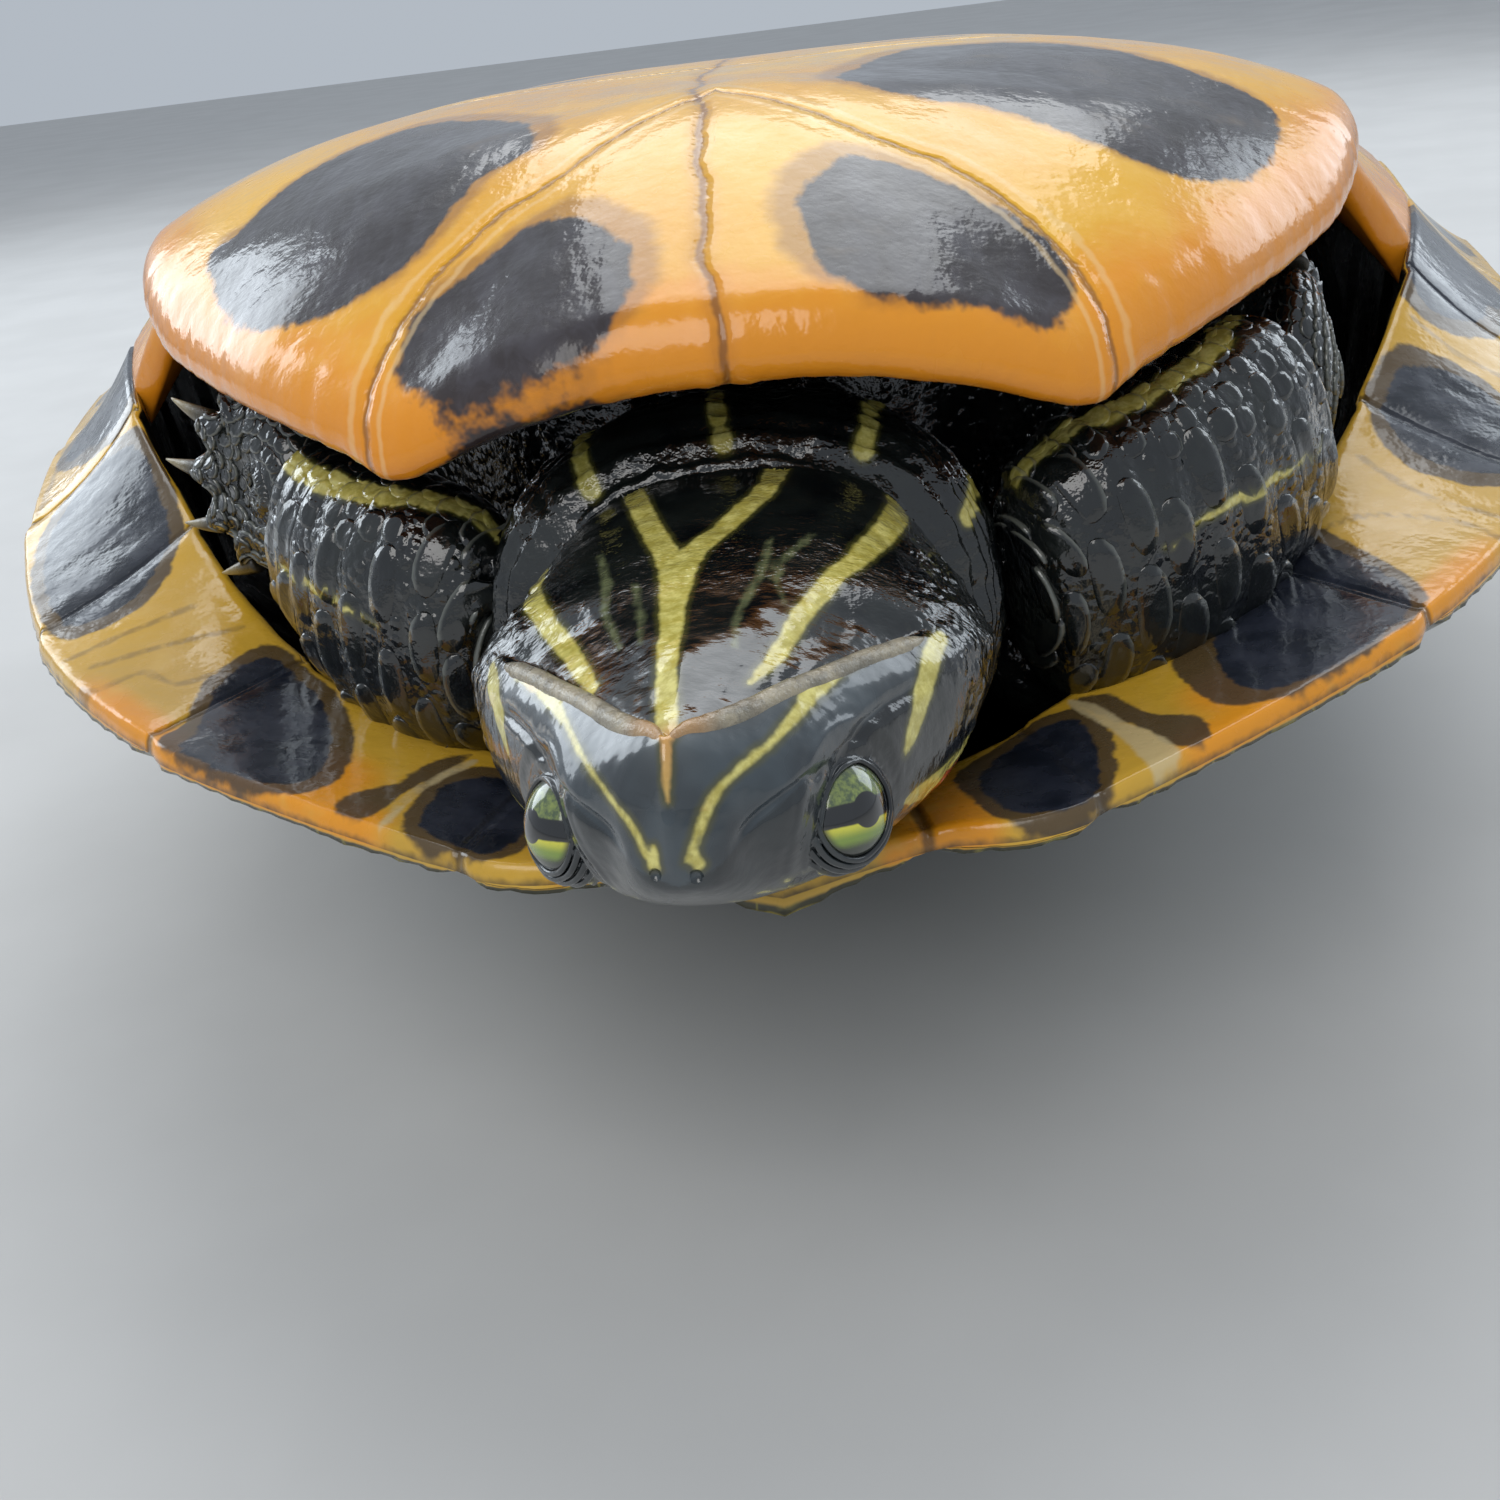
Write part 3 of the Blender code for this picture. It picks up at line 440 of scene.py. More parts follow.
def plastron_material():
    s = Shader("plastron_horn")
    dark, mid_seam, cross = s.attr("dark"), s.attr("mid_seam"), s.attr("seam")
    depth, fore = s.attr("edge_in"), s.attr("fore")
    large, mid = s.noise(34, 1, 0.5), s.noise(7.0, 3, 0.6)
    streak = s.noise(2.6, 3, 0.6, s.stretch(1.0, 0.28, 1.0), 0.6)
    col = s.mix(s.ramp(large, 0.35, 0.68), rgb("#E6A520"), rgb("#F0B936"))
    col = s.mix(s.ramp(streak, 0.45, 0.8, 0.0, 0.35), col, rgb("#F4C455"))
    lip = s.math("ADD", depth, s.math("MULTIPLY", s.math("SUBTRACT", mid, 0.5), 9.0))
    col = s.mix(s.ramp(lip, 0.5, 9.0, 0.85, 0.0), col, rgb("#E88F1C"))
    col = s.mix(s.ramp(depth, -3.5, 1.5, 0.6, 0.0), col, rgb("#E07A16"))
    halo = s.math("ADD", s.wobble(s.attr("halo"), 1.1, 3.0), 0.0)
    col = s.mix(s.ramp(halo, -0.8, 1.1, 0.62, 0.0), col, rgb("#8C5A28"))
    ragged = s.noise(1.5, 2, 0.65, s.stretch(1.0, 0.45, 1.0))
    dk = s.math("ADD", dark, s.math("MULTIPLY", s.math("SUBTRACT", ragged, 0.5), 1.7))
    dk = s.math("ADD", dk, s.math("MULTIPLY", s.math("SUBTRACT", mid, 0.5), 2.0))
    slate = s.mix(s.ramp(streak, 0.35, 0.7), rgb("#26272D"), rgb("#3A3B43"))
    slate = s.mix(s.ramp(mid, 0.62, 0.8, 0.0, 0.5), slate, rgb("#6A5A48"))
    col = s.mix(s.ramp(dk, -0.35, 0.5, 0.97, 0.0), col, slate)
    wave = s.wobble(mid_seam, 0.45, 3.2)
    col = s.mix(s.ramp(s.math("ABSOLUTE", wave), 0.10, 0.50, 0.8, 0.0), col, rgb("#6A4220"))
    col = s.mix(s.ramp(s.math("ABSOLUTE", wave), 0.4, 1.8, 0.25, 0.0), col, rgb("#B8742E"))
    cr = s.wobble(cross, 0.5, 3.0)
    col = s.mix(s.ramp(s.math("ABSOLUTE", cr), 0.08, 0.42, 0.7, 0.0), col, rgb("#80501F"))
    par = s.math("ABSOLUTE", s.math("SUBTRACT", s.math("ABSOLUTE", cr), 1.7))
    col = s.mix(s.ramp(par, 0.1, 0.5, 0.35, 0.0), col, rgb("#F5D39A"))
    col = s.mix(s.ramp(s.attr("inner"), 0.4, 0.6), col, rgb("#241F18"))
    ribs = s.noise(1.5, 1, 0.6, s.stretch(1.0, 0.22, 0.22))
    n0 = s.bump(mid, 0.6, 0.3)
    n1 = s.bump(ribs, 0.10, 0.5, n0)
    n2 = s.bump(s.noise(1.2, 2, 0.65), 0.10, 0.5, n1)
    g = s.math("MULTIPLY", s.ramp(s.math("ABSOLUTE", wave), 0.0, 0.9), s.ramp(s.math("ABSOLUTE", cr), 0.0, 0.7))
    n3 = s.bump(g, 0.25, 0.7, n2)
    rough = s.ramp(mid, 0.3, 0.75, 0.12, 0.32)
    return s.done(col, rough, n3, coat=0.38, coat_rough=0.07, spec=0.35)


def skin_material(name="skin", scaly=False):
    s = Shader(name)
    stripe, beak, warm = s.attr("stripe"), s.attr("beak"), s.attr("warm")
    green, granular = s.attr("green"), s.attr("granular")
    mid, fine = s.noise(5.0, 2), s.noise(1.1, 3, 0.65)
    col = s.mix(s.ramp(mid, 0.3, 0.7), rgb("#0B0E10"), rgb("#191D1B"))
    col = s.mix(s.ramp(fine, 0.55, 0.85, 0.0, 0.4), col, rgb("#34352E"))
    horn = s.mix(s.ramp(mid, 0.3, 0.7), rgb("#252C31"), rgb("#3B454B"))
    horn = s.mix(s.ramp(s.attr("near_edge"), 0.0, 1.0, 0.0, 0.75), horn, rgb("#6E7272"))
    col = s.mix(s.ramp(beak, 0.1, 0.8), col, horn)
    gr = s.wobble(green, 0.5, 1.6)
    col = s.mix(s.ramp(gr, -0.3, 0.45, 0.7, 0.0), col, rgb("#79805A"))
    st = s.wobble(stripe, 0.28, 1.3)
    pale = s.mix(s.ramp(fine, 0.35, 0.7), rgb("#B9AC52"), rgb("#DDD37C"))
    pale = s.mix(s.ramp(warm, 0.1, 0.9), pale, rgb("#C99650"))
    edge = s.mix(s.ramp(st, -0.05, 0.55, 0.85, 0.0), col, rgb("#4C4A22"))
    col = s.mix(s.ramp(st, -0.28, 0.10, 1.0, 0.0), edge, pale)
    if not scaly:
        ear = s.wobble(s.attr("ear"), 0.3, 1.6)
        col = s.mix(s.ramp(ear, -0.25, 0.15, 1.0, 0.0), col, s.mix(s.ramp(mid, 0.35, 0.7), rgb("#8E2A16"), rgb("#B5451C")))
    if scaly:
        col = s.mix(s.ramp(s.attr("rim"), 0.45, 1.0, 0.0, 0.55), col, rgb("#7D8078"))
    n1 = s.bump(s.noise(3.2, 2, 0.6), 0.40, 0.5)
    gate = s.ramp(granular, 0.0, 1.0)
    grains = s.math("MULTIPLY", s.ramp(s.cells(1.3, "F1"), 0.2, 0.6, 1.0, 0.0), gate)
    n2 = s.bump(grains, 0.16, 0.8, n1)
    wr = s.math("MULTIPLY", s.noise(0.9, 2, 0.65, s.stretch(1.0, 1.6, 1.0)), s.attr("wrinkle"))
    n3 = s.bump(wr, 0.16, 0.8, n2)
    rough = s.math("ADD", s.ramp(mid, 0.3, 0.75, 0.11, 0.26), s.math("MULTIPLY", beak, 0.10))
    return s.done(col, rough, n3, coat=0.75, coat_rough=0.06, spec=0.5)


def tomium_material():
    s = Shader("beak_horn")
    warm = s.attr("warm")
    c = s.mix(s.ramp(s.noise(2.2, 4), 0.3, 0.7), rgb("#7B7566"), rgb("#A59A82"))
    c = s.mix(s.ramp(s.noise(0.6, 3), 0.45, 0.8, 0.0, 0.6), c, rgb("#5E5A50"))
    c = s.mix(s.ramp(warm, 0.1, 1.0, 0.0, 0.7), c, rgb("#B98A52"))
    n = s.bump(s.noise(0.7, 4, 0.7), 0.2, 0.8)
    return s.done(c, s.ramp(s.noise(1.5), 0.3, 0.7, 0.2, 0.4), n, coat=0.6, coat_rough=0.1)


def eye_material():
    s = Shader("eye")
    up, across, polar = s.attr("up"), s.attr("across"), s.attr("polar")
    fibre = s.noise(0.45, 4, 0.7, s.stretch(1.0, 1.0, 0.5))
    upper = s.mix(s.ramp(fibre, 0.35, 0.7), rgb("#45563A"), rgb("#84924A"))
    lower = s.mix(s.ramp(up, -1.75, -0.75), rgb("#7C9630"), rgb("#D6D23A"))
    lower = s.mix(s.ramp(fibre, 0.55, 0.8, 0.0, 0.4), lower, rgb("#6E8428"))
    col = s.mix(s.ramp(up, -0.2, 0.2), lower, upper)
    col = s.mix(s.ramp(up, -2.6, -1.8, 1.0, 0.0), col, rgb("#27301B"))
    col = s.mix(s.ramp(up, 2.2, 3.2, 0.0, 0.8), col, rgb("#39402C"))
    bar = s.math("SUBTRACT", s.math("ABSOLUTE", s.wobble(up, 0.12, 0.8)), 0.78)
    col = s.mix(s.ramp(bar, -0.10, 0.08, 1.0, 0.0), col, rgb("#06070A"))
    pupil = s.math("SUBTRACT", polar, 1.25)
    col = s.mix(s.ramp(pupil, -0.05, 0.05, 1.0, 0.0), col, rgb("#020203"))
    col = s.mix(s.ramp(polar, 2.75, 3.25), col, rgb("#15160F"))
    return s.done(col, 0.12, None, coat=1.0, coat_rough=0.02, spec=0.6)


def claw_material():
    s = Shader("claw_horn")
    c = s.mix(s.ramp(s.attr("along"), 0.1, 0.95), rgb("#2A2519"), rgb("#9A8A5C"))
    c = s.mix(s.ramp(s.noise(1.2, 4), 0.45, 0.75, 0.0, 0.5), c, rgb("#4A402A"))
    n = s.bump(s.noise(0.6, 4, 0.7), 0.15, 0.7)
    return s.done(c, s.ramp(s.noise(1.4), 0.3, 0.7, 0.24, 0.45), n, coat=0.4, coat_rough=0.12)


def floor_material():
    s = Shader("pale_floor")
    c = s.mix(s.ramp(s.noise(60, 4), 0.3, 0.7), (0.55, 0.545, 0.535), (0.59, 0.585, 0.575))
    return s.done(c, 0.75)


M_CARAPACE, M_PLASTRON, M_SKIN = carapace_material(), plastron_material(), skin_material()
M_SCALES = skin_material("skin_scales", scaly=True)
M_TOMIUM, M_EYE, M_CLAW = tomium_material(), eye_material(), claw_material()


# ---------------------------------------------------------------- carapace --
def rim_at(k, side):
    t = k / 13.0
    p = spline(RIM, t)
    f = k % 1.0
    step = f * f * (1 - smooth(0.93, 1.0, f)) * np.where((k > 1) & (k < 13), 1.0, 0.0)
    step = step * (0.55 + 0.85 * smooth(6, 10, k))
    ys = SPINE_FRONT + (SPINE_REAR - SPINE_FRONT) * (0.5 - 0.5 * np.cos(np.pi * t))
    d = np.stack([p[:, 0], p[:, 1] - ys, np.zeros_like(ys)], 1)
    d = unit(d)
    r = p + d * (1.3 * step)[:, None]
    c = np.stack([np.zeros_like(ys), ys, np.full_like(ys, SPINE_LEVEL)], 1)
    r[:, 0] *= side
    return r, c, spline(BAND_WIDTH, t), spline(BAND_RISE, t), spline(WALL, t), spline(SLOPE, t)


def dome(r, c, wall, slope, s):
    g = (1 - np.sqrt(1 - (wall * s) ** 2)) / (1 - np.sqrt(1 - wall * wall))
    g = g + (np.clip(s, 0, 1) ** 1.12 - g) * slope
    p = c + (r - c) * s[:, None]
    p[:, 2] = c[:, 2] + (r[:, 2] - c[:, 2]) * g
    return p


K_FINE = np.linspace(0, 13, 2601)
RIM_FINE = rim_at(K_FINE, 1.0)[0]
ARC_FINE = np.concatenate([[0], np.cumsum(np.linalg.norm(np.diff(spline(RIM, K_FINE / 13.0), axis=0), axis=1))])
SEAM_ARCS = np.interp(np.arange(14), K_FINE, ARC_FINE)


def shell_columns(length, fine_to, fine, coarse):
    a = [0.0]
    while a[-1] < length:
        step = fine + (coarse - fine) * float(smooth(fine_to, fine_to + 60, a[-1]))
        a.append(a[-1] + step)
    return np.array(a) * (length / a[-1])


arc_half = shell_columns(ARC_FINE[-1], 130.0, 1.0, 2.4)
k_half = np.interp(arc_half, ARC_FINE, K_FINE)
n_half = len(k_half)
k_all = np.concatenate([k_half, k_half[1:-1][::-1]])
arc_all = np.concatenate([arc_half, arc_half[1:-1][::-1]])
side_all = np.concatenate([np.ones(n_half), -np.ones(n_half - 2)])
r_, c_, width_, rise_, wall_, slope_ = rim_at(k_all, side_all)
inward_ = c_ - r_
inward_[:, 2] = 0
reach_ = np.linalg.norm(inward_, axis=1)
inward_ = unit(inward_)
Z = np.array((0, 0, 1.0))

rows, region, t_in, path_in = [], [], [], []
OUT_S = 1 - (1 - np.linspace(0, 1, 66)) ** 1.15
for s in OUT_S:
    p = dome(r_, c_, wall_, slope_, np.full(len(k_all), s))
    p[:, 2] = np.maximum(p[:, 2], FLAT_LEVEL)
    rows.append(p)
    region.append(0.0)
    t_in.append(np.full(len(k_all), -1.0))
    path_in.append(-1.0)
for f in np.linspace(0, 1, 7)[1:]:
    a = f * np.pi / 2
    rows.append(r_ + inward_ * (0.9 * (1 - np.cos(a))) + Z * (RIM_THICK * np.sin(a)))
    region.append(1.0)
    t_in.append(np.full(len(k_all), 0.9 * (1 - np.cos(a))))
    path_in.append(RIM_THICK * f)
for q in np.linspace(0, 1, 22)[1:]:
    z = 2.2 * (1 - q) + (1 + rise_) * q + (0.08 - 0.11 * rise_) * 4 * q * (1 - q)
    d = 0.9 + (width_ - 0.9) * q
    rows.append(r_ + inward_ * d[:, None] + Z * z[:, None])
    region.append(1.0)
    t_in.append(d)
    path_in.append(9.0)
for a in (0.5, 1.0, 1.5):
    d = width_ + 1.2 * math.sin(a)
    z = 1 + rise_ - 1.4 * (1 - math.cos(a))
    rows.append(r_ + inward_ * d[:, None] + Z * z[:, None])
    region.append(1.0 if a < 0.8 else 2.0)
    t_in.append(d)
    path_in.append(9.0)
foot_ = 1 - (width_ + 4.0) / reach_
for f in (1.0, 0.96, 0.9, 0.82, 0.72, 0.6, 0.45, 0.3, 0.15, 0.0):
    s = foot_ * f
    p = dome(r_, c_, wall_, slope_, s)
    p[:, 2] += SHELL_THICK + 4.5 * s ** 4
    rows.append(p)
    region.append(2.0)
    t_in.append(np.full(len(k_all), 40.0))
    path_in.append(9.0)
G = np.stack(rows, 1)
REGION = np.broadcast_to(np.array(region)[None], G.shape[:2]).copy()
T_IN = np.stack(t_in, 1)
N = grid_normals(G)
mid_col = n_half // 2
if (N[10, 30] @ (G[10, 30] - np.array((0, 135.0, 0)))) < 0:
    N = -N
# scute seams of the outer side, in plan
plan = G[..., :2]
absx, yy = np.abs(plan[..., 0]), plan[..., 1]
outer = REGION < 0.5
s_row = np.concatenate([OUT_S, np.ones(G.shape[1] - len(OUT_S))])[None] * np.ones((len(k_all), 1))
VERT_Y = [28.0, 62.0, 108.0, 156.0, 202.0, 236.0]
COSTAL_Y = [40.0, 84.0, 132.0, 180.0, 219.0]


def vertebral_half(y):
    """Half width of the vertebral row: widest where a costal seam meets it."""
    w = np.zeros_like(y)
    for c in COSTAL_Y:
        w = np.maximum(w, 1 - np.abs(y - c) / 24.0)
    return 21.0 + 9.0 * np.clip(w, 0, 1)


marg = 0.80
vseam = absx - vertebral_half(yy)
alt = np.zeros_like(yy)
near = np.full_like(yy, 1e9)
for n, v in enumerate(VERT_Y):
    d = (yy - v - 2.0 * np.cos(absx * 0.35)) * (-1) ** n
    alt = np.where(np.abs(d) < near, d, alt)
    near = np.minimum(near, np.abs(d))
calt, cnear = np.zeros_like(yy), np.full_like(yy, 1e9)
for n, v in enumerate(COSTAL_Y):
    slant = v + (absx - 28.0) * (0.18 * (v - 132.0) / 60.0)
    d = (yy - slant) * (-1) ** n
    calt = np.where(np.abs(d) < cnear, d, calt)
    cnear = np.minimum(cnear, np.abs(d))
mseam = (s_row - marg) * reach_[:, None]
arc_grid = arc_all[:, None] * np.ones((1, G.shape[1]))
sm_alt, sm_near = np.zeros_like(yy), np.full_like(yy, 1e9)
for n, a in enumerate(SEAM_ARCS):
    if n == 0:
        continue
    d = (arc_grid - a) * (-1) ** n
    sm_alt = np.where(np.abs(d) < sm_near, d, sm_alt)
    sm_near = np.minimum(sm_near, np.abs(d))
inner_zone = s_row < marg
in_vert = vseam < 0
o = np.where(inner_zone, np.where(in_vert, alt, calt), sm_alt)
border = np.where(np.abs(vseam) < np.abs(mseam), vseam, mseam)
oseam = np.where(np.abs(border) < np.abs(o), np.abs(border), np.abs(o))
oseam = np.where(~inner_zone & (np.abs(mseam) > np.abs(sm_alt)), np.abs(sm_alt), oseam)
# relief
h = np.zeros_like(yy)
h -= np.where(outer, 0.85 * np.exp(-(oseam / 1.1) ** 2), 0)
h += np.where(outer, 0.16 * np.cos(oseam * 2.0) * np.exp(-oseam / 16.0), 0)
h += np.where(outer & in_vert, 0.8 * np.exp(-(absx / 5.0) ** 2) * smooth(0.03, 0.12, s_row), 0)
h += np.where(outer, 0.25 * fbm(G, 9.0, 3), 0)
band = (REGION > 0.5) & (REGION < 1.5)
h -= np.where(band, 0.45 * np.exp(-(sm_near / 0.8) ** 2) * smooth(0.0, 2.0, T_IN), 0)
h += np.where(band, 0.10 * fbm(G, 6.0, 5), 0)
h += np.where(band, 0.04 * np.cos(sm_near * 1.5) * np.exp(-sm_near / 7.0), 0)
h += np.where(REGION > 1.5, 0.5 * fbm(G, 8.0, 8), 0)
h *= np.where(G[..., 2] < FLAT_LEVEL + 0.8, 0.0, 1.0)
h[:, 0] = 0
h[:, -1] = 0
G = G + N * h[..., None]
G[..., 2] = np.maximum(G[..., 2], FLAT_LEVEL)
for r in (0, -1):
    G[:, r, 0] = 0
G[0, :, 0] = 0
G[n_half - 1, :, 0] = 0
carapace, used = ring_grid("carapace_shell", G, [M_CARAPACE])


# markings of the marginals, in mm along the rim and inwards from it
def ellipse(cx, cy, rx, ry, n=20, turn=0.0):
    a = np.arange(n) / n * 2 * np.pi
    x, y = rx * np.cos(a), ry * np.sin(a)
    return np.stack([cx + x * math.cos(turn) - y * math.sin(turn), cy + x * math.sin(turn) + y * math.cos(turn)], 1)


BLACK_R = [[(19, 4), (20.5, 1.4), (26, 0.9), (28.2, 4), (30.5, 10), (30.8, 15), (26, 17), (20.5, 14), (18.8, 9)],
           [(51.5, 15.6), (46, 8.5), (46, 3.2), (52.6, 1.1), (60, 1.6), (67.5, 3.4), (71, 13.6), (71, 18.2), (61, 19.6)],
           [(92.8, 9.5), (96, 4.0), (104, 3.2), (110, 6), (112, 11), (107, 16.6), (98, 17.6), (93.6, 14.5)],
           [(122, 13), (131, 7.2), (146, 6.6), (150, 10), (148, 14.5), (135, 17), (124, 16.6)]]
BLACK_L = [[(23, 4), (25, 1.8), (31, 2.0), (33, 6), (33.4, 11), (30, 15), (25, 13.6), (23, 9)],
           [(61, 1.4), (62, 4.2), (68.4, 11), (68.4, 17.7), (57.9, 17), (49.3, 10.9), (46, 4), (50.4, 1.1)],
           [(93, 8), (97, 3.2), (112, 2.6), (122, 5), (125, 11), (118, 16.6), (101, 17.4), (94, 13.4)],
           [(132, 12), (141, 6.8), (156, 6.2), (163, 9.4), (160, 13.5), (146, 15.4), (134, 15.4)]]
HALO_R = [[(33.0, 18.6), (36.1, 15.6), (36.6, 9), (39.0, 4.5), (38.2, 1.0), (35.6, 0.8), (34.7, 3), (34.4, 8), (33.4, 13)],
          [(17.4, 5), (19, 0.4), (27, 0.2), (30, 4), (32.4, 10), (32, 17), (26, 19), (18.6, 16), (17, 10)],
          [(44, 14), (42, 8), (43, 2.6), (49, 0.6), (60, 0.9), (68.6, 2.4), (73, 13.6), (73, 19), (60, 20.8), (49.5, 19)],
          [(89.8, 9.8), (94, 2.6), (104, 1.6), (112, 5), (114.2, 11.4), (109, 18.2), (97, 19.6), (91.2, 15.5)],
          [(119, 13), (129, 5.4), (147, 4.6), (152.6, 10), (150, 16.5), (134, 19), (121, 18.4)]]
HALO_L = [[(35.0, 17.5), (37.6, 14), (38.2, 8), (41.0, 4.0), (40.2, 1.0), (37.4, 0.8), (36.6, 3), (36.2, 8), (35.2, 12)],
          [(21.6, 4), (24.4, 0.6), (32, 0.8), (34.6, 6), (35, 12), (31, 17), (24, 15.6), (21.4, 9)],
          [(63, 0.8), (65, 4.2), (70.4, 11), (70.4, 19.2), (57, 18.8), (47.3, 12.2), (43.6, 4), (48.6, 0.4)],
          [(90.4, 8), (95, 1.8), (113, 1.0), (124.4, 4), (127.6, 11), (119, 18.4), (100, 19.2), (91.8, 14.4)],
          [(129, 12), (139, 5.0), (157, 4.4), (166, 9.4), (162, 15.5), (146, 17.4), (131.4, 17.2)]]
PALE_R = [[(33, 19), (34.2, 15), (34.2, 9.5), (34.9, 5.6), (34.9, 0.8), (33, 0.2), (31.6, 0.4), (32.4, 8), (32.2, 16)]]
PALE_L = [[(35.2, 1), (36.0, 8), (34.6, 16), (33.6, 16), (35.0, 8), (34.4, 1)]]
LINES_R = [[(65.8, 20), (77.8, 14.6), (82.7, 5.6), (81.9, 0.9)],
           [(86.5, 1), (85.5, 9), (88, 18)], [(118, 2), (116.6, 9), (117, 16)], [(128, 1.4), (140, 2.4), (156, 2.2)],
           [(99, 1.2), (108, 0.9), (115, 2.4)]]
LINES_L = [[(81, 0.3), (78.6, 0.9), (77.8, 6.3), (71.9, 8.2), (70, 16)],
           [(88.3, 1.2), (87.0, 8), (84.3, 15.9)], [(76, 18), (80, 11), (84, 3)], [(130, 1.4), (144, 2.4), (160, 2.2)]]


def scute_marks(side):
    """Blotch, halo and line for each marginal behind the fourth."""
    black, halo, lines = [], [], []
    for n in range(5, 12):
        a, b = SEAM_ARCS[n + 0], SEAM_ARCS[n + 1]
        w = float(np.interp(n + 0.8, np.arange(14), BAND_WIDTH))
        c = a + (b - a) * (0.72 if n > 6 else 0.6)
        black.append(ellipse(c, w * 0.56, (b - a) * 0.26, w * 0.30, turn=0.2 * side))
        halo.append(ellipse(c, w * 0.56, (b - a) * 0.33, w * 0.40, turn=0.2 * side))
        q = a + (b - a) * 0.16
        lines.append([(q, 1.5), (q + 1.4, w * 0.5), (q, w)])
    return black, halo, lines


st = np.stack([arc_grid, T_IN], -1).reshape(-1, 2)[used]
sg = (side_all[:, None] * np.ones((1, G.shape[1]))).reshape(-1)[used]
reg = REGION.reshape(-1)[used]
on_band = (reg > 0.5) & (reg < 1.5)


def marks(lists_r, lists_l, open_width=None, closed=True):
    out = np.full(len(st), 9.0)
    for side, polys in ((1, lists_r), (-1, lists_l)):
        sel = np.where(on_band & (sg == side))[0]
        d = np.full(len(sel), 9.0)
        for poly in polys:
            if closed:
                d = np.minimum(d, inside_distance(st[sel], closed_curve(poly, 40)))
            else:
                line = spline(poly, np.linspace(0, 1, 16))
                d = np.minimum(d, line_distance(st[sel], line, open_width))
        out[sel] = np.clip(d, -9, 9)
    return out


bR, hR, lR = scute_marks(1)
bL, hL, lL = scute_marks(-1)
attribute(carapace, "region", reg)
attribute(carapace, "dark", marks(BLACK_R + bR, BLACK_L + bL))
attribute(carapace, "halo", marks(HALO_R + hR, HALO_L + hL))
attribute(carapace, "pale", marks(PALE_R, PALE_L))
attribute(carapace, "lines", marks(LINES_R + lR, LINES_L + lL, 0.0, closed=False))
attribute(carapace, "seam", np.where(on_band, np.clip(sm_alt.reshape(-1)[used], -9, 9), 9.0))
sarc, tin = st[:, 0], st[:, 1]
orange = (smooth(6.5, 9.5, sarc) * (1 - smooth(16, 21, sarc))
          + smooth(30, 38, sarc) * (1 - smooth(72, 92, sarc)) * (1 - smooth(1.2, 6.5, tin)))
orange = np.maximum(orange, smooth(34, 44, sarc) * (1 - smooth(52, 60, sarc)) * (1 - smooth(6, 15, tin)))
attribute(carapace, "orange", np.where(on_band, np.clip(orange, 0, 1), 0))
path = (np.array(path_in)[None] * np.ones((len(k_all), 1))).reshape(-1)[used]
attribute(carapace, "edge_in", np.where(on_band, path, 9.0))
attribute(carapace, "oseam", np.where(reg < 0.5, np.clip(oseam.reshape(-1)[used], 0, 9), 9.0))
attribute(carapace, "grow", np.where(reg < 0.5, np.abs(oseam.reshape(-1)[used]), sm_near.reshape(-1)[used]))
bar_d = np.full_like(yy, 9.0)
for a, b in zip(COSTAL_Y, COSTAL_Y[1:] + [248.0]):
    c = (a + b) / 2
    bar_d = np.minimum(bar_d, np.abs(yy - c - (absx - 50) * 0.06 * (c - 132) / 40) - 2.6)
bar_d = np.where((s_row < marg - 0.02) & (absx > vertebral_half(yy) + 2), bar_d, 9.0)
mbar = np.abs(np.abs(sm_alt) - 11.0) - 1.2
bar_d = np.where(s_row > marg + 0.02, mbar, bar_d)
attribute(carapace, "bar", np.where(reg < 0.5, np.clip(bar_d.reshape(-1)[used], -9, 9), 9.0))
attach(carapace, "root")
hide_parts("carapace")


# ---------------------------------------------------------------- plastron --
def mid_level(y):
    y = np.asarray(y, float)
    front = PLASTRON_LEVEL - 13.3 * (np.clip(52.0 - y, 0, None) / 40.1) ** 1.5
    rear = 7.6 * (np.clip(y - 95.0, 0, None) / 145.0) ** 1.15
    return front - rear


def bridge_edge(k):
    r, c, w, rise, _, _ = rim_at(k, 1.0)
    inward = c - r
    inward[:, 2] = 0
    inward = unit(inward)
    return r + inward * (w + 0.15)[:, None] + Z * (1 + rise)[:, None]


edge_i = np.concatenate([np.linspace(0, 12, 241), np.linspace(13, 19, 121), np.linspace(20, 30, 201)])
e_front = spline(FRONT_LOBE, edge_i[:241] / 12)
e_bridge = bridge_edge(BRIDGE_FROM + (BRIDGE_TO - BRIDGE_FROM) * (edge_i[241:362] - 13) / 6)
e_hind = spline(HIND_LOBE, (edge_i[362:] - 20) / 10)
edge_p = np.concatenate([e_front, e_bridge, e_hind])
edge_arc = np.concatenate([[0], np.cumsum(np.linalg.norm(np.diff(edge_p, axis=0), axis=1))])
parc = shell_columns(edge_arc[-1], 120.0, 0.85, 2.0)
pi_half = np.interp(parc, edge_arc, edge_i)
pe_half = np.stack([np.interp(parc, edge_arc, edge_p[:, a]) for a in range(3)], 1)
np_half = len(pi_half)
bend_half = table([(5, 2.1), (9, 3.8), (13, 3.4), (34, 3.2)], pi_half)[:, 0]
pi_all = np.concatenate([pi_half, pi_half[1:-1][::-1]])
pe = np.concatenate([pe_half, pe_half[1:-1][::-1]])
pside = np.concatenate([np.ones(np_half), -np.ones(np_half - 2)])
parc_all = np.concatenate([parc, parc[1:-1][::-1]])
bend = np.concatenate([bend_half, bend_half[1:-1][::-1]])
pys = 36.0 + 188.0 * (pi_all / 30.0)
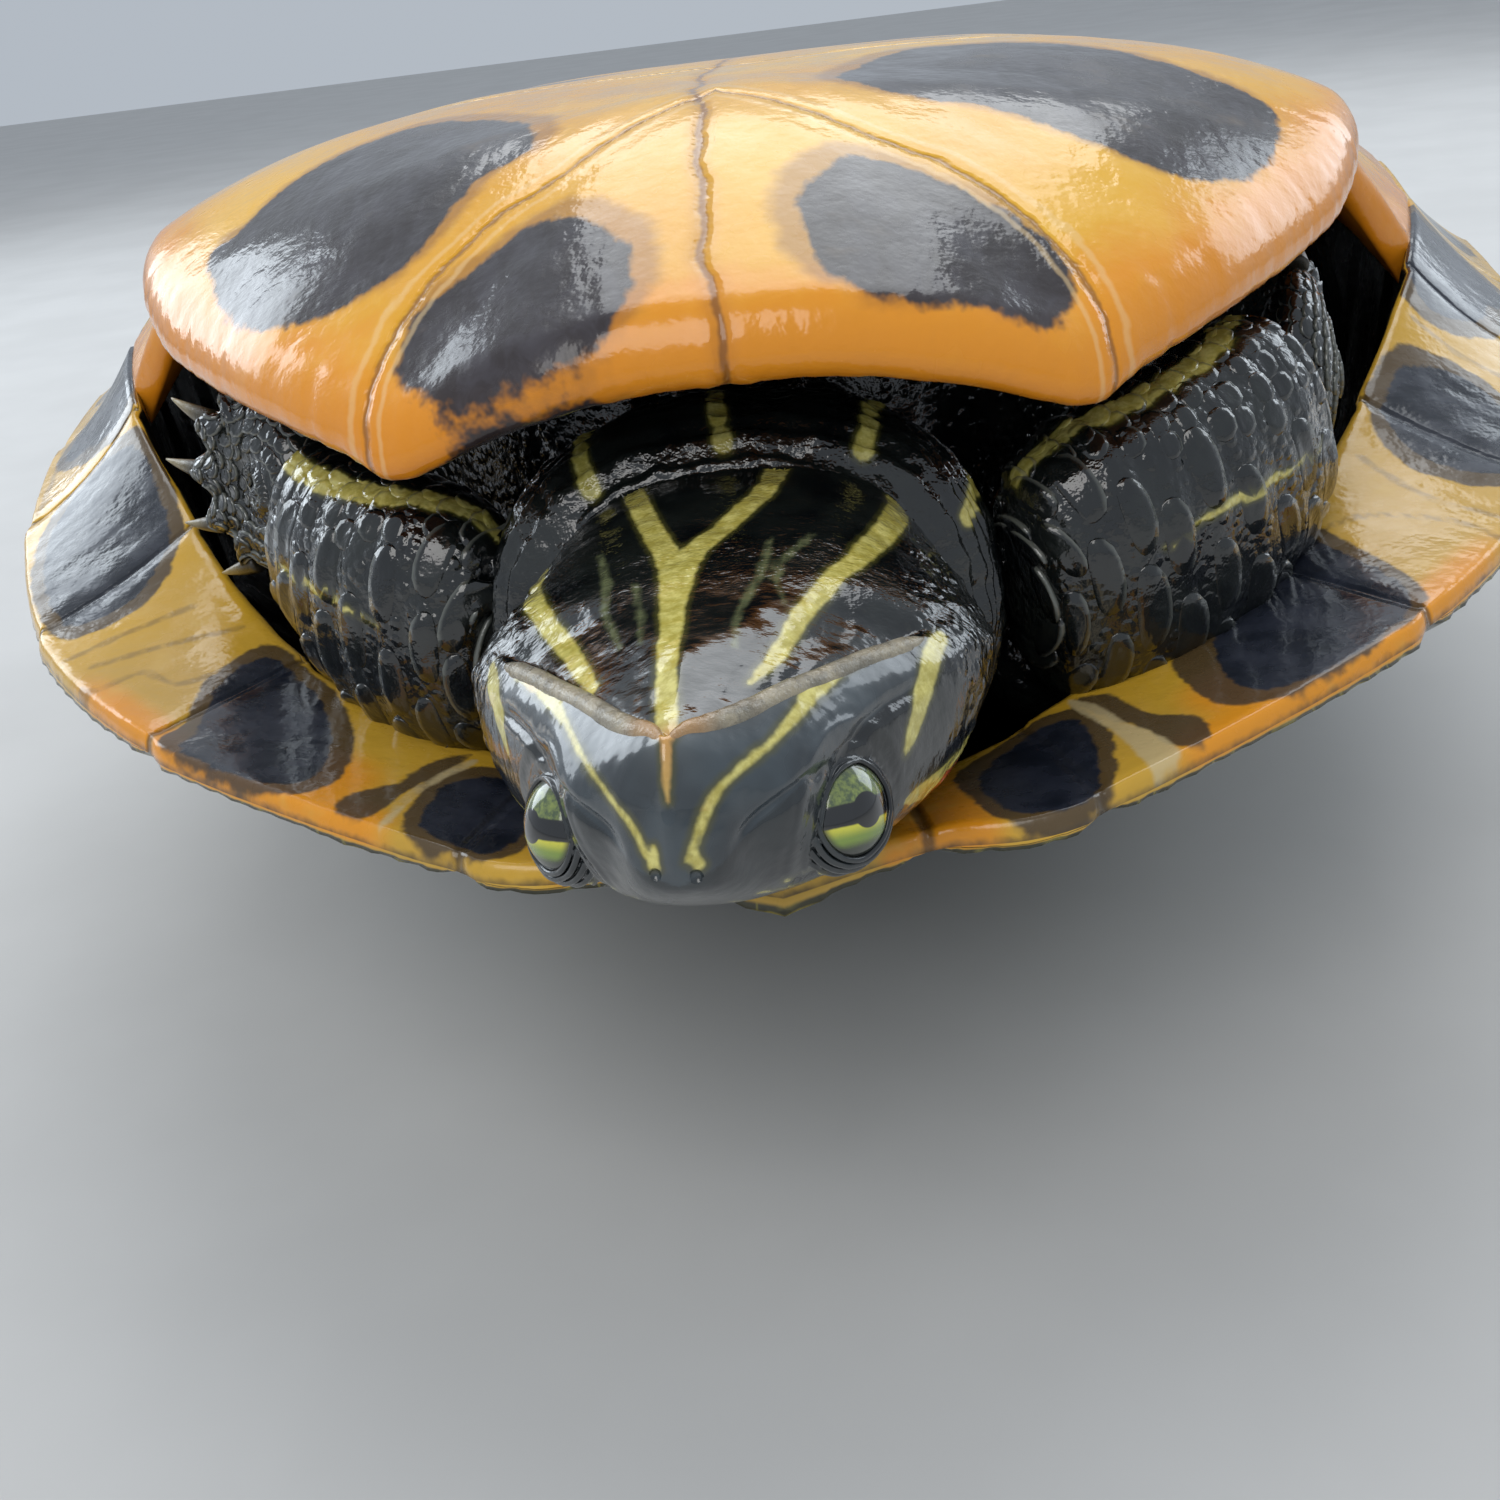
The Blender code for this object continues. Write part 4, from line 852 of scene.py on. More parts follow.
lip_r = 3.0 - 2.1 * smooth(11.5, 12.8, pi_all) * (1 - smooth(19.4, 20.6, pi_all))
lip_h = LIP_THICK / 2


def plastron_top(u):
    x, y = pe[:, 0] * u, pys + (pe[:, 1] - pys) * u
    z = mid_level(y) + (pe[:, 2] - mid_level(pe[:, 1])) * u ** bend
    return np.stack([x, y, z], 1)


reach_p = np.sqrt(pe[:, 0] ** 2 + (pe[:, 1] - pys) ** 2)
rows, depth, inner = [], [], []
QS = np.linspace(0, 1, 62) ** 0.85
for q in QS:
    u = q * (1 - lip_r / reach_p)
    rows.append(plastron_top(u))
    depth.append(reach_p * (1 - u))
    inner.append(0.0)
for f in np.linspace(0, 1, 9)[1:]:
    a = f * np.pi / 2
    d = lip_r * (1 - math.sin(a))
    u = 1 - d / reach_p
    p = plastron_top(u)
    p[:, 2] -= lip_h * (1 - math.cos(a))
    rows.append(p)
    depth.append(d)
    inner.append(0.0)
for f in np.linspace(0, 1, 9)[1:]:
    a = f * np.pi / 2
    d = lip_r * (1 - math.cos(a))
    p = plastron_top(1 - d / reach_p)
    p[:, 2] -= lip_h * (1 + math.sin(a))
    rows.append(p)
    depth.append(-f * 3.0)
    inner.append(0.0)
for q in (0.93, 0.86, 0.78, 0.68, 0.56, 0.42, 0.28, 0.14, 0.0):
    u = q * (1 - lip_r / reach_p)
    p = plastron_top(u)
    p[:, 2] -= PLASTRON_THICK + 1.4 * q
    rows.append(p)
    depth.append(np.full(len(pe), -3.0))
    inner.append(0.0 if q > 0.9 else 1.0)
G = np.stack(rows, 1)
DEPTH = np.stack([np.broadcast_to(d, (len(pe),)) for d in depth], 1)
INNER = np.broadcast_to(np.array(inner)[None], G.shape[:2])
G[..., 0] *= pside[:, None]
N = grid_normals(G)
if N[5, 5, 2] < 0:
    N = -N
SEAM_GH = [(0, 50), (7, 43.6), (14.6, 37), (18.8, 34.7), (22.4, 31.5), (25.4, 28.2), (28, 23.9), (30, 18.3), (34, 6)]
SEAMS = [SEAM_GH, [(0, 84), (20, 86.5), (40, 86), (56, 82), (80, 76)], [(0, 121), (30, 119), (60, 122), (90, 122)],
         [(0, 167), (25, 170), (45, 177), (62, 183), (90, 188)], [(0, 203), (18, 210), (36, 220), (52, 228), (80, 240)]]
X, Y = G[..., 0], G[..., 1]
cross, cnear = np.full_like(X, 9.0), np.full_like(X, 1e9)
for n, keys in enumerate(SEAMS):
    yv = table(keys, np.abs(X).ravel())[:, 0].reshape(X.shape)
    dx = (table(keys, np.abs(X).ravel() + 0.5)[:, 0].reshape(X.shape) - yv) / 0.5
    d = (Y - yv) / np.sqrt(1 + dx * dx) * (-1) ** n
    cross = np.where(np.abs(d) < cnear, d, cross)
    cnear = np.minimum(cnear, np.abs(d))
midx = table([(5, 0), (12.1, 0), (15.2, -0.6), (20, -1.3), (26.6, -0.9), (34, -1.5), (44, -1.0), (52.6, -2.2), (60, -1.6),
              (70, -2.4), (85, -1.0), (120, 0.8), (170, -0.6), (250, 0)], Y.ravel())[:, 0].reshape(X.shape)
midx = midx + 0.14 * np.sin(Y * 0.9)
mseam_p = X - midx
top = INNER < 0.5
groove = 0.22 * np.exp(-(mseam_p / 0.8) ** 2) + 0.20 * np.exp(-(cross / 0.7) ** 2)
h = -groove * top
h = h + np.where(top, 0.05 * np.cos(np.abs(cross) * 1.15 + 0.5) * np.exp(-np.abs(cross) / 9.0), 0)
h = h + np.where(top, 0.14 * fbm(G, 16.0, 11), 0)
rib = noise(np.stack([parc_all[:, None] * np.ones_like(X) / 1.4, DEPTH * 0.12, np.zeros_like(X)], -1), 1.0, 21)
h = h + np.where(top, 0.09 * rib * np.exp(-np.clip(DEPTH, 0, None) / 4.0) * (1 - smooth(11.5, 12.8, pi_all) * (1 - smooth(19.4, 20.6, pi_all)))[:, None], 0)
h[:, 0] = h[:, 1].mean() * 0
h[:, -1] = 0
G = G + N * h[..., None]
for r in (0, -1):
    G[:, r, 0] = 0
G[0, :, 0] = 0
G[np_half - 1, :, 0] = 0
plastron, used = ring_grid("plastron_shell", G, [M_PLASTRON])
GULAR_L = [(-26.6, 24.7), (-26.6, 19.5), (-22, 14.6), (-17.6, 13.4), (-12.6, 12.8), (-9.2, 13.3), (-7, 16.7), (-7.4, 22.6),
           (-10.5, 27.4), (-15.1, 30.7), (-20.3, 28.6), (-24.6, 27)]
GULAR_R = [(6.7, 25.9), (6.8, 20.3), (8.4, 16.2), (11.9, 14.6), (16.4, 15), (21, 16.4), (24.9, 16.9), (27.1, 20.1), (26.9, 24.3),
           (23.6, 28.7), (19.1, 31.2), (15.3, 33.4), (10.3, 32.4)]
HUMERAL_L = [(-51.8, 53.7), (-47.4, 42.2), (-41.4, 33.9), (-34.4, 31.2), (-28, 32.7), (-24.8, 37), (-21.7, 42.9), (-17.2, 45.4),
             (-19.6, 57.3), (-29.7, 69), (-38.1, 67.2), (-44.7, 61.8), (-48.7, 55.3)]
HUMERAL_R = [(11.6, 55.2), (16.6, 47.7), (25.2, 45.1), (33.3, 41.3), (39.9, 39.4), (47, 43.5), (52.3, 53), (52.2, 59.7),
             (47.3, 63.5), (40.6, 69.2), (29.2, 75.2), (18.7, 74.2)]
BLOTCHES = [GULAR_L, GULAR_R, HUMERAL_L, HUMERAL_R]
for side in (1, -1):
    for cx, cy, rx, ry, turn in ((34, 103, 21, 10.5, 0.05), (37, 145, 23, 15, -0.1), (33, 190, 17, 12.5, 0.35), (20, 226, 11, 8, 0.5)):
        BLOTCHES.append(ellipse(side * cx, cy + side * 1.2, rx, ry, turn=turn * side))
xy = G[..., :2].reshape(-1, 2)[used]
dark = np.full(len(xy), 20.0)
halo = np.full(len(xy), 20.0)
for poly in BLOTCHES:
    curve = closed_curve(poly, 44)
    dark = np.minimum(dark, inside_distance(xy, curve))
    lifted = xy - np.array((0.0, 1.0))
    halo = np.minimum(halo, inside_distance(lifted - np.sign(curve[:, 0].mean()) * np.array((-1.2, 0)), curve) - 1.0)
flat_inner = INNER.reshape(-1)[used]
attribute(plastron, "dark", np.clip(dark, -9, 9))
attribute(plastron, "halo", np.clip(halo, -9, 9))
attribute(plastron, "mid_seam", np.clip(mseam_p.reshape(-1)[used], -9, 9))
attribute(plastron, "seam", np.clip(cross.reshape(-1)[used], -9, 9))
attribute(plastron, "edge_in", DEPTH.reshape(-1)[used])
attribute(plastron, "fore", Y.reshape(-1)[used])
attribute(plastron, "inner", flat_inner)
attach(plastron, "root")
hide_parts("plastron")


# -------------------------------------------------------------------- head --
def head_to_frame(p):
    p = np.asarray(p, float)
    return HEAD_TIP + (p[..., :1] * HEAD_X + p[..., 1:2] * HEAD_B + p[..., 2:3] * HEAD_V) * HEAD_SCALE


def frame_to_head(p):
    q = (np.asarray(p, float) - HEAD_TIP) / HEAD_SCALE
    return np.stack([q @ HEAD_X, q @ HEAD_B, q @ HEAD_V], -1)


# lower border of the horny beak: height for the distance from the middle
BEAK_X, BEAK_V = [0, 2.8, 5.0, 7.4, 9.3, 11.5, 13.5, 16], [-9.5, -8.2, -6.2, -4.6, -3.4, -2.2, -1.2, -0.6]
MOUTH_X = [(0.0, -1.6), (0.9, 0.0), (2.5, 0.95), (3.6, 2.1), (6.0, 4.15), (8.6, 6.1), (10.6, 7.6), (14.2, 10.4), (17.3, 12.6),
           (19.2, 14.0), (21.5, 15.6), (24.0, 17.2)]


def chin_depth(p):
    """How far a point of the throat side lies inside the cutting edge of the upper beak, in mm."""
    d = table(MOUTH_X, p[..., 1])[..., 0] - np.abs(p[..., 0])
    st = table(HEAD_STATIONS, p[..., 1])
    mid = st[..., 1] + (st[..., 2] - st[..., 1]) * 0.56
    return np.where(p[..., 2] > mid, d, -9.0)


def head_section(b, ca, sa):
    """Point of the plain head at b for the direction (ca, sa) of its section."""
    st = table(HEAD_STATIONS, b)
    w, topv, low = st[..., 0], st[..., 1], st[..., 2]
    cap = np.sqrt(np.clip(1 - (1 - np.clip(b / 1.1, 0, 1)) ** 2, 0, 1))
    mid = topv + (low - topv) * 0.56
    power = np.where(sa > 0, 1.55 + 0.95 * smooth(3.0, 17.0, b), 2.1 + 0.4 * np.clip(1 - b / 20.0, 0, 1))
    m = (np.abs(ca) ** power + np.abs(sa) ** power) ** (-1 / power)
    x = w * m * ca
    v = mid + np.where(sa > 0, m * sa * (low - mid), m * sa * (mid - topv))
    x = np.where(v > 0.5, x * (1 - 0.16 * np.clip((v - 0.5) / 7.0, 0, 1)), x)
    return np.stack([x * cap, np.broadcast_to(b, x.shape), mid + (v - mid) * cap], -1)


NB, NA = 150, 240
bb = 52.0 * (np.linspace(0, 1, NB) ** 1.55)
bb = np.concatenate([[0.02], bb[1:-1], [51.0, 51.7, 52.0]])
aa = np.arange(NA) / NA * 2 * np.pi
B, A = np.meshgrid(bb, aa, indexing="ij")
H = head_section(B, np.cos(A), np.sin(A))
# close the nape
tail_cap = np.sqrt(np.clip(1 - smooth(50.2, 52.05, B) ** 2, 0.0, 1))
centre = H.mean(1, keepdims=True)
H = centre + (H - centre) * np.where(B > 50, np.maximum(tail_cap, 0.02), 1.0)[..., None]
NH = grid_normals(np.swapaxes(H, 0, 1))
NH = np.swapaxes(NH, 0, 1)
if (NH[60, 0] @ (H[60, 0] - centre[60, 0])) < 0:
    NH = -NH
xh, bh, vh = H[..., 0], H[..., 1], H[..., 2]
front_fade = 1 - smooth(20.0, 24.5, bh)
inw = chin_depth(H)
disp = np.zeros_like(xh)
# chin set back behind the cutting edge of the upper beak
disp -= 1.0 * smooth(-0.1, 0.45, inw) * (1 - smooth(3.0, 9.0, inw) * 0.75) * front_fade * smooth(0.6, 2.2, bh)
# keel in front, and slightly hollow faces on both sides of it
disp += 0.40 * np.exp(-(xh / 0.7) ** 2) * (1 - smooth(0.6, 2.0, bh)) * smooth(-9.5, -7.5, vh)
disp -= 0.55 * np.exp(-((np.abs(xh) - 5.2) / 2.6) ** 2) * np.exp(-((vh + 4.0) / 3.4) ** 2) * (1 - smooth(5, 12, bh))
# crease along the lower border of the beak, and a hollow between snout and eye
crease = vh - np.interp(np.abs(xh), BEAK_X, BEAK_V)
disp -= 0.45 * np.exp(-(crease / 0.55) ** 2) * smooth(3.2, 6.0, np.abs(xh)) * (1 - smooth(16, 20, bh)) * (inw < 0)
disp -= 1.0 * np.exp(-((np.abs(xh) - 5.6) / 1.9) ** 2 - ((vh + 9.0) / 3.2) ** 2) * (1 - smooth(5, 10, bh))
# cheek fold, jaw muscles and throat folds
disp += 0.5 * np.exp(-((bh - 29.0) / 6.0) ** 2) * np.exp(-((vh - 1.0) / 5.5) ** 2)
disp -= 0.5 * np.exp(-((bh - 30.5) / 2.6) ** 2 - ((vh + 5.5) / 3.0) ** 2)
wr = noise(np.stack([xh * 0.4, bh, vh * 0.4], -1), 1.7, 31)
disp += 0.22 * wr * smooth(22, 33, bh)
disp += 0.22 * noise(H, 1.5, 33) * smooth(19, 26, bh) * smooth(12.5, 16.5, np.abs(xh))
chin = smooth(0.3, 1.4, inw)
disp += chin * (0.08 * noise(np.stack([xh, bh * 0.35, vh], -1), 1.3, 35))
# eye sockets: the skin follows the eyeball, with rings of folds about it
lid_mask = np.zeros_like(xh)
P = H + NH * disp[..., None]
for side in (1, -1):
    ax = LOOK * np.array((side, 1, 1))
    C = EYE_MID * np.array((side, 1, 1))
    d = P - C
    q = d @ ax
    rho = np.linalg.norm(d - q[..., None] * ax, axis=-1)
    near_eye = (q > -1.5)
    target = C + unit(d) * (EYE_RADIUS + 0.15)
    f = (1 - smooth(3.7, 6.4, rho)) * near_eye
    ripple = 0.20 * np.cos((rho - 3.9) * 2 * np.pi / 1.1) * (1 - smooth(4.6, 7.8, rho)) * smooth(3.6, 4.0, rho) * near_eye
    P = P * (1 - f[..., None]) + target * f[..., None]
    P = P + unit(d) * ripple[..., None]
    sink = (1 - smooth(3.0, 3.6, rho)) * near_eye
    P = P - (ax * 2.6) * sink[..., None]
head_ob = tube_grid("skin_head", head_to_frame(P))


def ring_tube(name, path, radius, seg=8):
    """Closed loop of tube through path points (head frame)."""
    path = np.asarray(path, float)
    t = unit(np.roll(path, -1, 0) - np.roll(path, 1, 0))
    c = path.mean(0)
    u = unit(path - c)
    u = unit(u - (u * t).sum(1, keepdims=True) * t)
    w = np.cross(t, u)
    a = np.arange(seg) / seg * 2 * np.pi
    r = np.broadcast_to(np.asarray(radius, float), (len(path),))
    g = path[:, None] + (u[:, None] * np.cos(a)[None, :, None] + w[:, None] * np.sin(a)[None, :, None]) * r[:, None, None]
    n, m = len(path), seg
    i = np.arange(n * m).reshape(n, m)
    faces = np.stack([i, np.roll(i, -1, 0), np.roll(np.roll(i, -1, 0), -1, 1), np.roll(i, -1, 1)], -1).reshape(-1, 4)
    ob = new_object(name, place(head_to_frame(g.reshape(-1, 3))), faces.tolist(), [])
    outwards(ob)
    return ob


LIDS, EYES = [], []
for side, tag in ((1, "R"), (-1, "L")):
    ax = LOOK * np.array((side, 1, 1))
    C = EYE_MID * np.array((side, 1, 1))
    up = np.array((0.0, 0.0, 1.0))
    up = unit(up - ax * (up @ ax))
    ac = np.cross(up, ax)
    a = np.arange(72) / 72 * 2 * np.pi
    for n, (polar, rad, lift) in enumerate(((0.90, 0.24, 0.12), (1.02, 0.27, 0.24), (1.17, 0.30, 0.24), (1.34, 0.30, 0.14))):
        px, py = polar * 0.97 * np.cos(a), polar * 1.0 * np.sin(a)
        th = np.sqrt(px * px + py * py)
        fi = np.arctan2(py, px)
        dirs = (ax[None] * np.cos(th)[:, None] + (ac[None] * np.cos(fi)[:, None] + up[None] * np.sin(fi)[:, None]) * np.sin(th)[:, None])
        wob = 0.05 * noise(dirs * 4, 1.0, 40 + n)
        LIDS.append(ring_tube(f"lid_{tag}_{n}", C + dirs * (EYE_RADIUS + lift + wob)[:, None], rad))
    # eyeball
    nu, nv = 64, 40
    g = []
    for j in range(1, nv):
        th = np.pi * j / nv
        fi = np.arange(nu) / nu * 2 * np.pi
        bulge = 0.18 * math.exp(-(th / 0.5) ** 2)
        g.append(C + (ax[None] * math.cos(th) + (ac[None] * np.cos(fi)[:, None] + up[None] * np.sin(fi)[:, None]) * math.sin(th)) * (EYE_RADIUS - 0.02 + bulge))
    eye = tube_grid("eyeball_" + tag, head_to_frame(np.array(g)), [M_EYE])
    loc = frame_to_head(unplace(coords(eye))) - C
    attribute(eye, "up", loc @ up)
    attribute(eye, "across", loc @ ac)
    attribute(eye, "polar", np.linalg.norm(np.cross(loc, ax), axis=1))
    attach(eye, "root")
    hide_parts("eye_" + tag)
    EYES.append(eye)

# cutting edge of the upper beak: a rounded blade along the mouth line
path_b = np.concatenate([np.linspace(22.4, 1.2, 64), [0.95]])
half, norm_h = [], []
for b in path_b:
    xm = max(float(table(MOUTH_X, np.array([b]))[0, 0]), 0.0)
    ang = np.linspace(0.02, np.pi / 2, 260)
    sec = head_section(np.full(260, b), np.cos(ang), np.sin(ang))
    k = int(np.argmin(np.abs(sec[:, 0] - xm)))
    half.append(sec[k])
half = np.array(half)
right = half
left = half[::-1] * np.array((-1, 1, 1))
blade = np.concatenate([right, np.array([(0.0, 0.8, float(right[-1, 2]) - 0.25)]), left])
for _ in range(2):
    blade[1:-1] = 0.25 * blade[:-2] + 0.5 * blade[1:-1] + 0.25 * blade[2:]
nb = len(blade)
t = unit(np.gradient(blade, axis=0))
outn = blade - np.stack([np.zeros(nb), 6.0 + blade[:, 1] * 0.8, np.full(nb, -9.0)], 1)
outn = unit(outn - (outn * t).sum(1, keepdims=True) * t)
upn = unit(np.cross(t, outn))
upn *= np.where((upn * (np.array((0, 12.0, 6.0)) - blade)).sum(1) > 0, 1.0, -1.0)[:, None]
fade = np.sin(np.clip(np.arange(nb) / 9.0, 0, 1) * np.pi / 2) * np.sin(np.clip((nb - 1 - np.arange(nb)) / 9.0, 0, 1) * np.pi / 2)
fade = np.maximum(fade, 0.08)
a = np.arange(14) / 14 * 2 * np.pi
jag = 0.12 * noise(blade, 0.9, 51) + 0.10 * noise(blade, 0.4, 52)
tip_k = 0.5 + 0.5 * smooth(0.3, 3.2, np.linalg.norm(blade - blade[nb // 2], axis=1))[:, None]
prof_u = (0.85 * np.sin(a)[None] * fade[:, None] - 0.38) * tip_k
prof_o = ((0.80 * np.cos(a))[None] * (1 + np.where(np.cos(a) > 0, 1.0, 0.0)[None] * jag[:, None]) - 0.48 - 0.12 * (1 - tip_k)) * fade[:, None]
g = blade[:, None] + outn[:, None] * prof_o[..., None] + upn[:, None] * prof_u[..., None]
tomium = tube_grid("beak_edge", head_to_frame(g), [M_TOMIUM])
loc = frame_to_head(unplace(coords(tomium)))
attribute(tomium, "warm", np.exp(-(loc[:, 0] / 3.0) ** 2) + 0.3 * noise(loc, 2.0, 5))
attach(tomium, "root")


# ------------------------------------------------------------------- limbs --
def limb_grid(stations, segments, rings, power=2.3, relief=0.0, folds=0.0, seed=0, inset=0.25, period=3.4, wrinkle=0.0, cap=0.17):
    s_key = [0.0, 0.10, 0.26, 0.42, 0.58, 0.74, 0.90, 1.0]
    f = np.linspace(0, 1, rings + 1)
    f = 0.5 - 0.5 * np.cos(np.pi * f) * (0.35 + 0.65) if rings < 4 else f
    f[0], f[-1] = 0.004, 0.996
    s = spline(s_key, f)
    c = spline(stations, s)
    q = unit(spline(stations, np.minimum(1, s + 0.03))[:, :3] - spline(stations, np.maximum(0, s - 0.03))[:, :3])
    up = unit(Z - q * q[:, 2:3])
    side = np.cross(q, up)
    r = np.ones_like(f)
    r = np.where(f < cap, np.sqrt(np.clip(1 - (1 - f / cap) ** 2, 0, 1)), r)
    r = np.where(f > 1 - cap, np.sqrt(np.clip(1 - (1 - (1 - f) / cap) ** 2, 0, 1)), r)
    a = np.arange(segments) / segments * 2 * np.pi
    ca, sa = np.cos(a), np.sin(a)
    m = (np.abs(ca) ** power + np.abs(sa) ** power) ** (-1 / power)
    hu = ((c[:, 3] - inset) * r)[:, None] * (m * ca)[None]
    hs = ((c[:, 4] - inset) * r)[:, None] * (m * sa)[None]
    g = c[:, None, :3] + up[:, None] * hu[..., None] + side[:, None] * hs[..., None]
    n = unit(up[:, None] * (hu / np.maximum(c[:, 3:4] ** 2, 1))[..., None] + side[:, None] * (hs / np.maximum(c[:, 4:5] ** 2, 1))[..., None])
    L = np.linalg.norm(np.diff(c[:, :3], axis=0), axis=1).sum()
    if relief:
        g = g + n * (relief * fbm(g, 3.2, seed))[..., None]
    if wrinkle:
        g = g + n * (wrinkle * noise(g, 1.5, seed + 7) * smooth(0.2, 0.6, r)[:, None])[..., None]
    if folds:
        ph = f[:, None] * L / period * 2 * np.pi + 1.6 * noise(g, 7.0, seed + 3)
        g = g + n * (folds * (np.cos(ph) - 0.4) * smooth(0, 0.1, r)[:, None])[..., None]
    return g, c, f


def paddle_grid(centre, forward, up, length, height, thick, toes, reach, inset=0.2, segs=96, rings=28):
    centre, forward, up = np.asarray(centre, float), unit(forward), np.asarray(up, float)
    up = unit(up - forward * (up @ forward))
    side = np.cross(forward, up)
    spread = math.radians(60)

    def edge(a):
        ca, sa = np.cos(a), np.sin(a)
        r = 1.0 / np.sqrt((ca / length) ** 2 + (sa / height) ** 2)
        phase = (a / spread + 1) / 2 * (toes - 1)
        k = 1 + reach * (0.5 + 0.5 * np.cos(2 * np.pi * phase)) - 0.04
        return np.where(np.abs(a) < spread * 1.05, r * k, r)
    f = np.linspace(0.004, 0.996, rings)
    a = np.arange(segs) / segs * 2 * np.pi
    a = np.where(a > np.pi, a - 2 * np.pi, a)
    F, A_ = np.meshgrid(f, a, indexing="ij")
    hh = np.sin(F * np.pi) ** 0.75
    e = edge(A_)
    r = (e - inset) * hh
    t = (thick - inset) * np.cos(F * np.pi) * (0.72 + 0.28 * np.cos(A_ + np.pi))
    # toes stand out of the web towards the edge
    phase = (A_ / spread + 1) / 2 * (toes - 1)
    toe = np.where(np.abs(A_) < spread * 1.05, 0.5 * np.cos(2 * np.pi * phase), 0.0) * smooth(0.45, 0.9, hh) * (1 - smooth(0.97, 1.0, hh))
    t = t + np.sign(np.cos(F * np.pi)) * toe * 0.55 * smooth(0.02, 0.3, np.abs(np.cos(F * np.pi)))
    g = centre + forward * (r * np.cos(A_))[..., None] + up * (r * np.sin(A_))[..., None] + side * t[..., None]
    g = g + 0.12 * fbm(g, 2.4, 61)[..., None] * side
    tips = []
    for n in range(toes):
        an = (2 * n / (toes - 1) - 1) * spread
        d = unit(forward * math.cos(an * 0.4) + up * math.sin(an * 0.4))
        out = forward * math.cos(an) + up * math.sin(an)
        tips.append((centre + out * float(edge(np.array(an))), d))
    return g, tips


def claw_grid(tip, direction, curl, length, radius):
    root = tip - direction * 2.0
    curl = unit(np.asarray(curl, float) - direction * (np.asarray(curl, float) @ direction))
    side = np.cross(direction, curl)
    s = np.concatenate([[0.0], np.linspace(0.02, 1.0, 16)])
    a = np.arange(14) / 14 * 2 * np.pi
    r = radius * (1 - 0.9 * s ** 1.3)
    r[0] *= 0.6
    c = root[None] + direction[None] * (s * length)[:, None] + curl[None] * ((s * length) ** 2 * 0.018)[:, None]
    flat = np.where(np.cos(a) < 0, 0.8, 1.1)
    return c[:, None] + (curl[None, None] * (np.cos(a) * flat)[None, :, None] + side[None, None] * (np.sin(a) * 0.9)[None, :, None]) * r[:, None, None], s


PARTS, CLAWS, CENTRES = [("head", head_ob)], {}, {}


def add_part(name, g):
    ob = tube_grid("skin_" + name, g)
    PARTS.append((name, ob))
    return ob


for side, tag in ((1, "R"), (-1, "L")):
    sgn = lambda x, y, z, *r: (side * x, y, z, *r)
    hand_dir = (side * 0.34, 0.94, 0.0) if side > 0 else (side * 0.86, 0.44, 0.10)
    hand_at = sgn(55.6, 56.0, 18.4) if side > 0 else sgn(49.0, 49.0, 20.6)
    hand, tips = paddle_grid(hand_at, hand_dir, (0, 0.12, 1), 10.0, 10.6 if side > 0 else 9.5, 4.8, 5, 0.22)
    claws = []
    for n, (tip, d) in enumerate(tips):
        if side > 0:
            d = unit(d + np.array((0.10, 0.55, 0.0)))
        claws.append(claw_grid(tip, d, (0, 1, 0.2), 6.6, 1.2))
    CLAWS["hand_" + tag] = claws
    if side > 0:
        fore = [sgn(23, 27, 9.0, 10, 6), sgn(29.5, 30, 10, 14, 8.2), sgn(38, 35.5, 11.8, 14.5, 9),
                sgn(46, 42.2, 15.0, 13.5, 8.4), sgn(51.2, 47.6, 17.6, 11.5, 6.4)]
    else:
        fore = [sgn(23, 27, 9.0, 10, 6), sgn(28.5, 30, 10, 13.5, 8), sgn(35.5, 36, 11.5, 13.5, 8.5),
                sgn(42, 43, 14.5, 12, 7.5), sgn(46.5, 47.5, 17.0, 10, 5.5)]
    g, c, f = limb_grid(fore, 120, 60, relief=0.2, folds=0.16, seed=70)
    add_part("forearm_" + tag, g)
    CENTRES["forearm_" + tag] = (g, f)
    upper = [sgn(40, 74, -6, 9, 9), sgn(37, 64, -6, 12, 10), sgn(32, 54, -3, 12, 10), sgn(28, 44, 1, 12, 9), sgn(26, 35, 4, 10, 8)]
    g, c, f = limb_grid(upper, 72, 36, relief=0.25, seed=71)
    add_part("upper_arm_" + tag, g)
    add_part("hand_" + tag, hand)
    CENTRES["hand_" + tag] = (hand, None)
    foot, tips = paddle_grid(sgn(42, 225.0, 29.8), (-side * 0.82, 0.56, 0.0), (0.2 * side, 0.75, 0.65), 18.0, 9.4, 4.6, 4, 0.20)
    CLAWS["foot_" + tag] = [claw_grid(tip, d, (0, 0.2, 1), 7.0, 1.3) for tip, d in tips]
    add_part("foot_" + tag, foot)
    CENTRES["foot_" + tag] = (foot, None)
    shin = [sgn(68, 183, 24, 9, 8), sgn(69, 190, 26, 11, 9.5), sgn(66, 201, 27.5, 11, 9), sgn(60, 211, 28.5, 9.5, 7.5), sgn(54, 218, 29, 8.5, 6)]
    g, c, f = limb_grid(shin, 72, 44, relief=0.2, folds=0.12, seed=72)
    add_part("shin_" + tag, g)
    CENTRES["shin_" + tag] = (g, f)
    thigh = [sgn(28, 178, 4, 10, 10), sgn(38, 180, 8, 14, 13), sgn(50, 184, 14, 15, 13), sgn(60, 187, 20, 13, 11), sgn(67, 187, 25, 10, 9)]
    g, c, f = limb_grid(thigh, 64, 40, relief=0.25, seed=73)
    add_part("thigh_" + tag, g)
    CENTRES["thigh_" + tag] = (g, f)

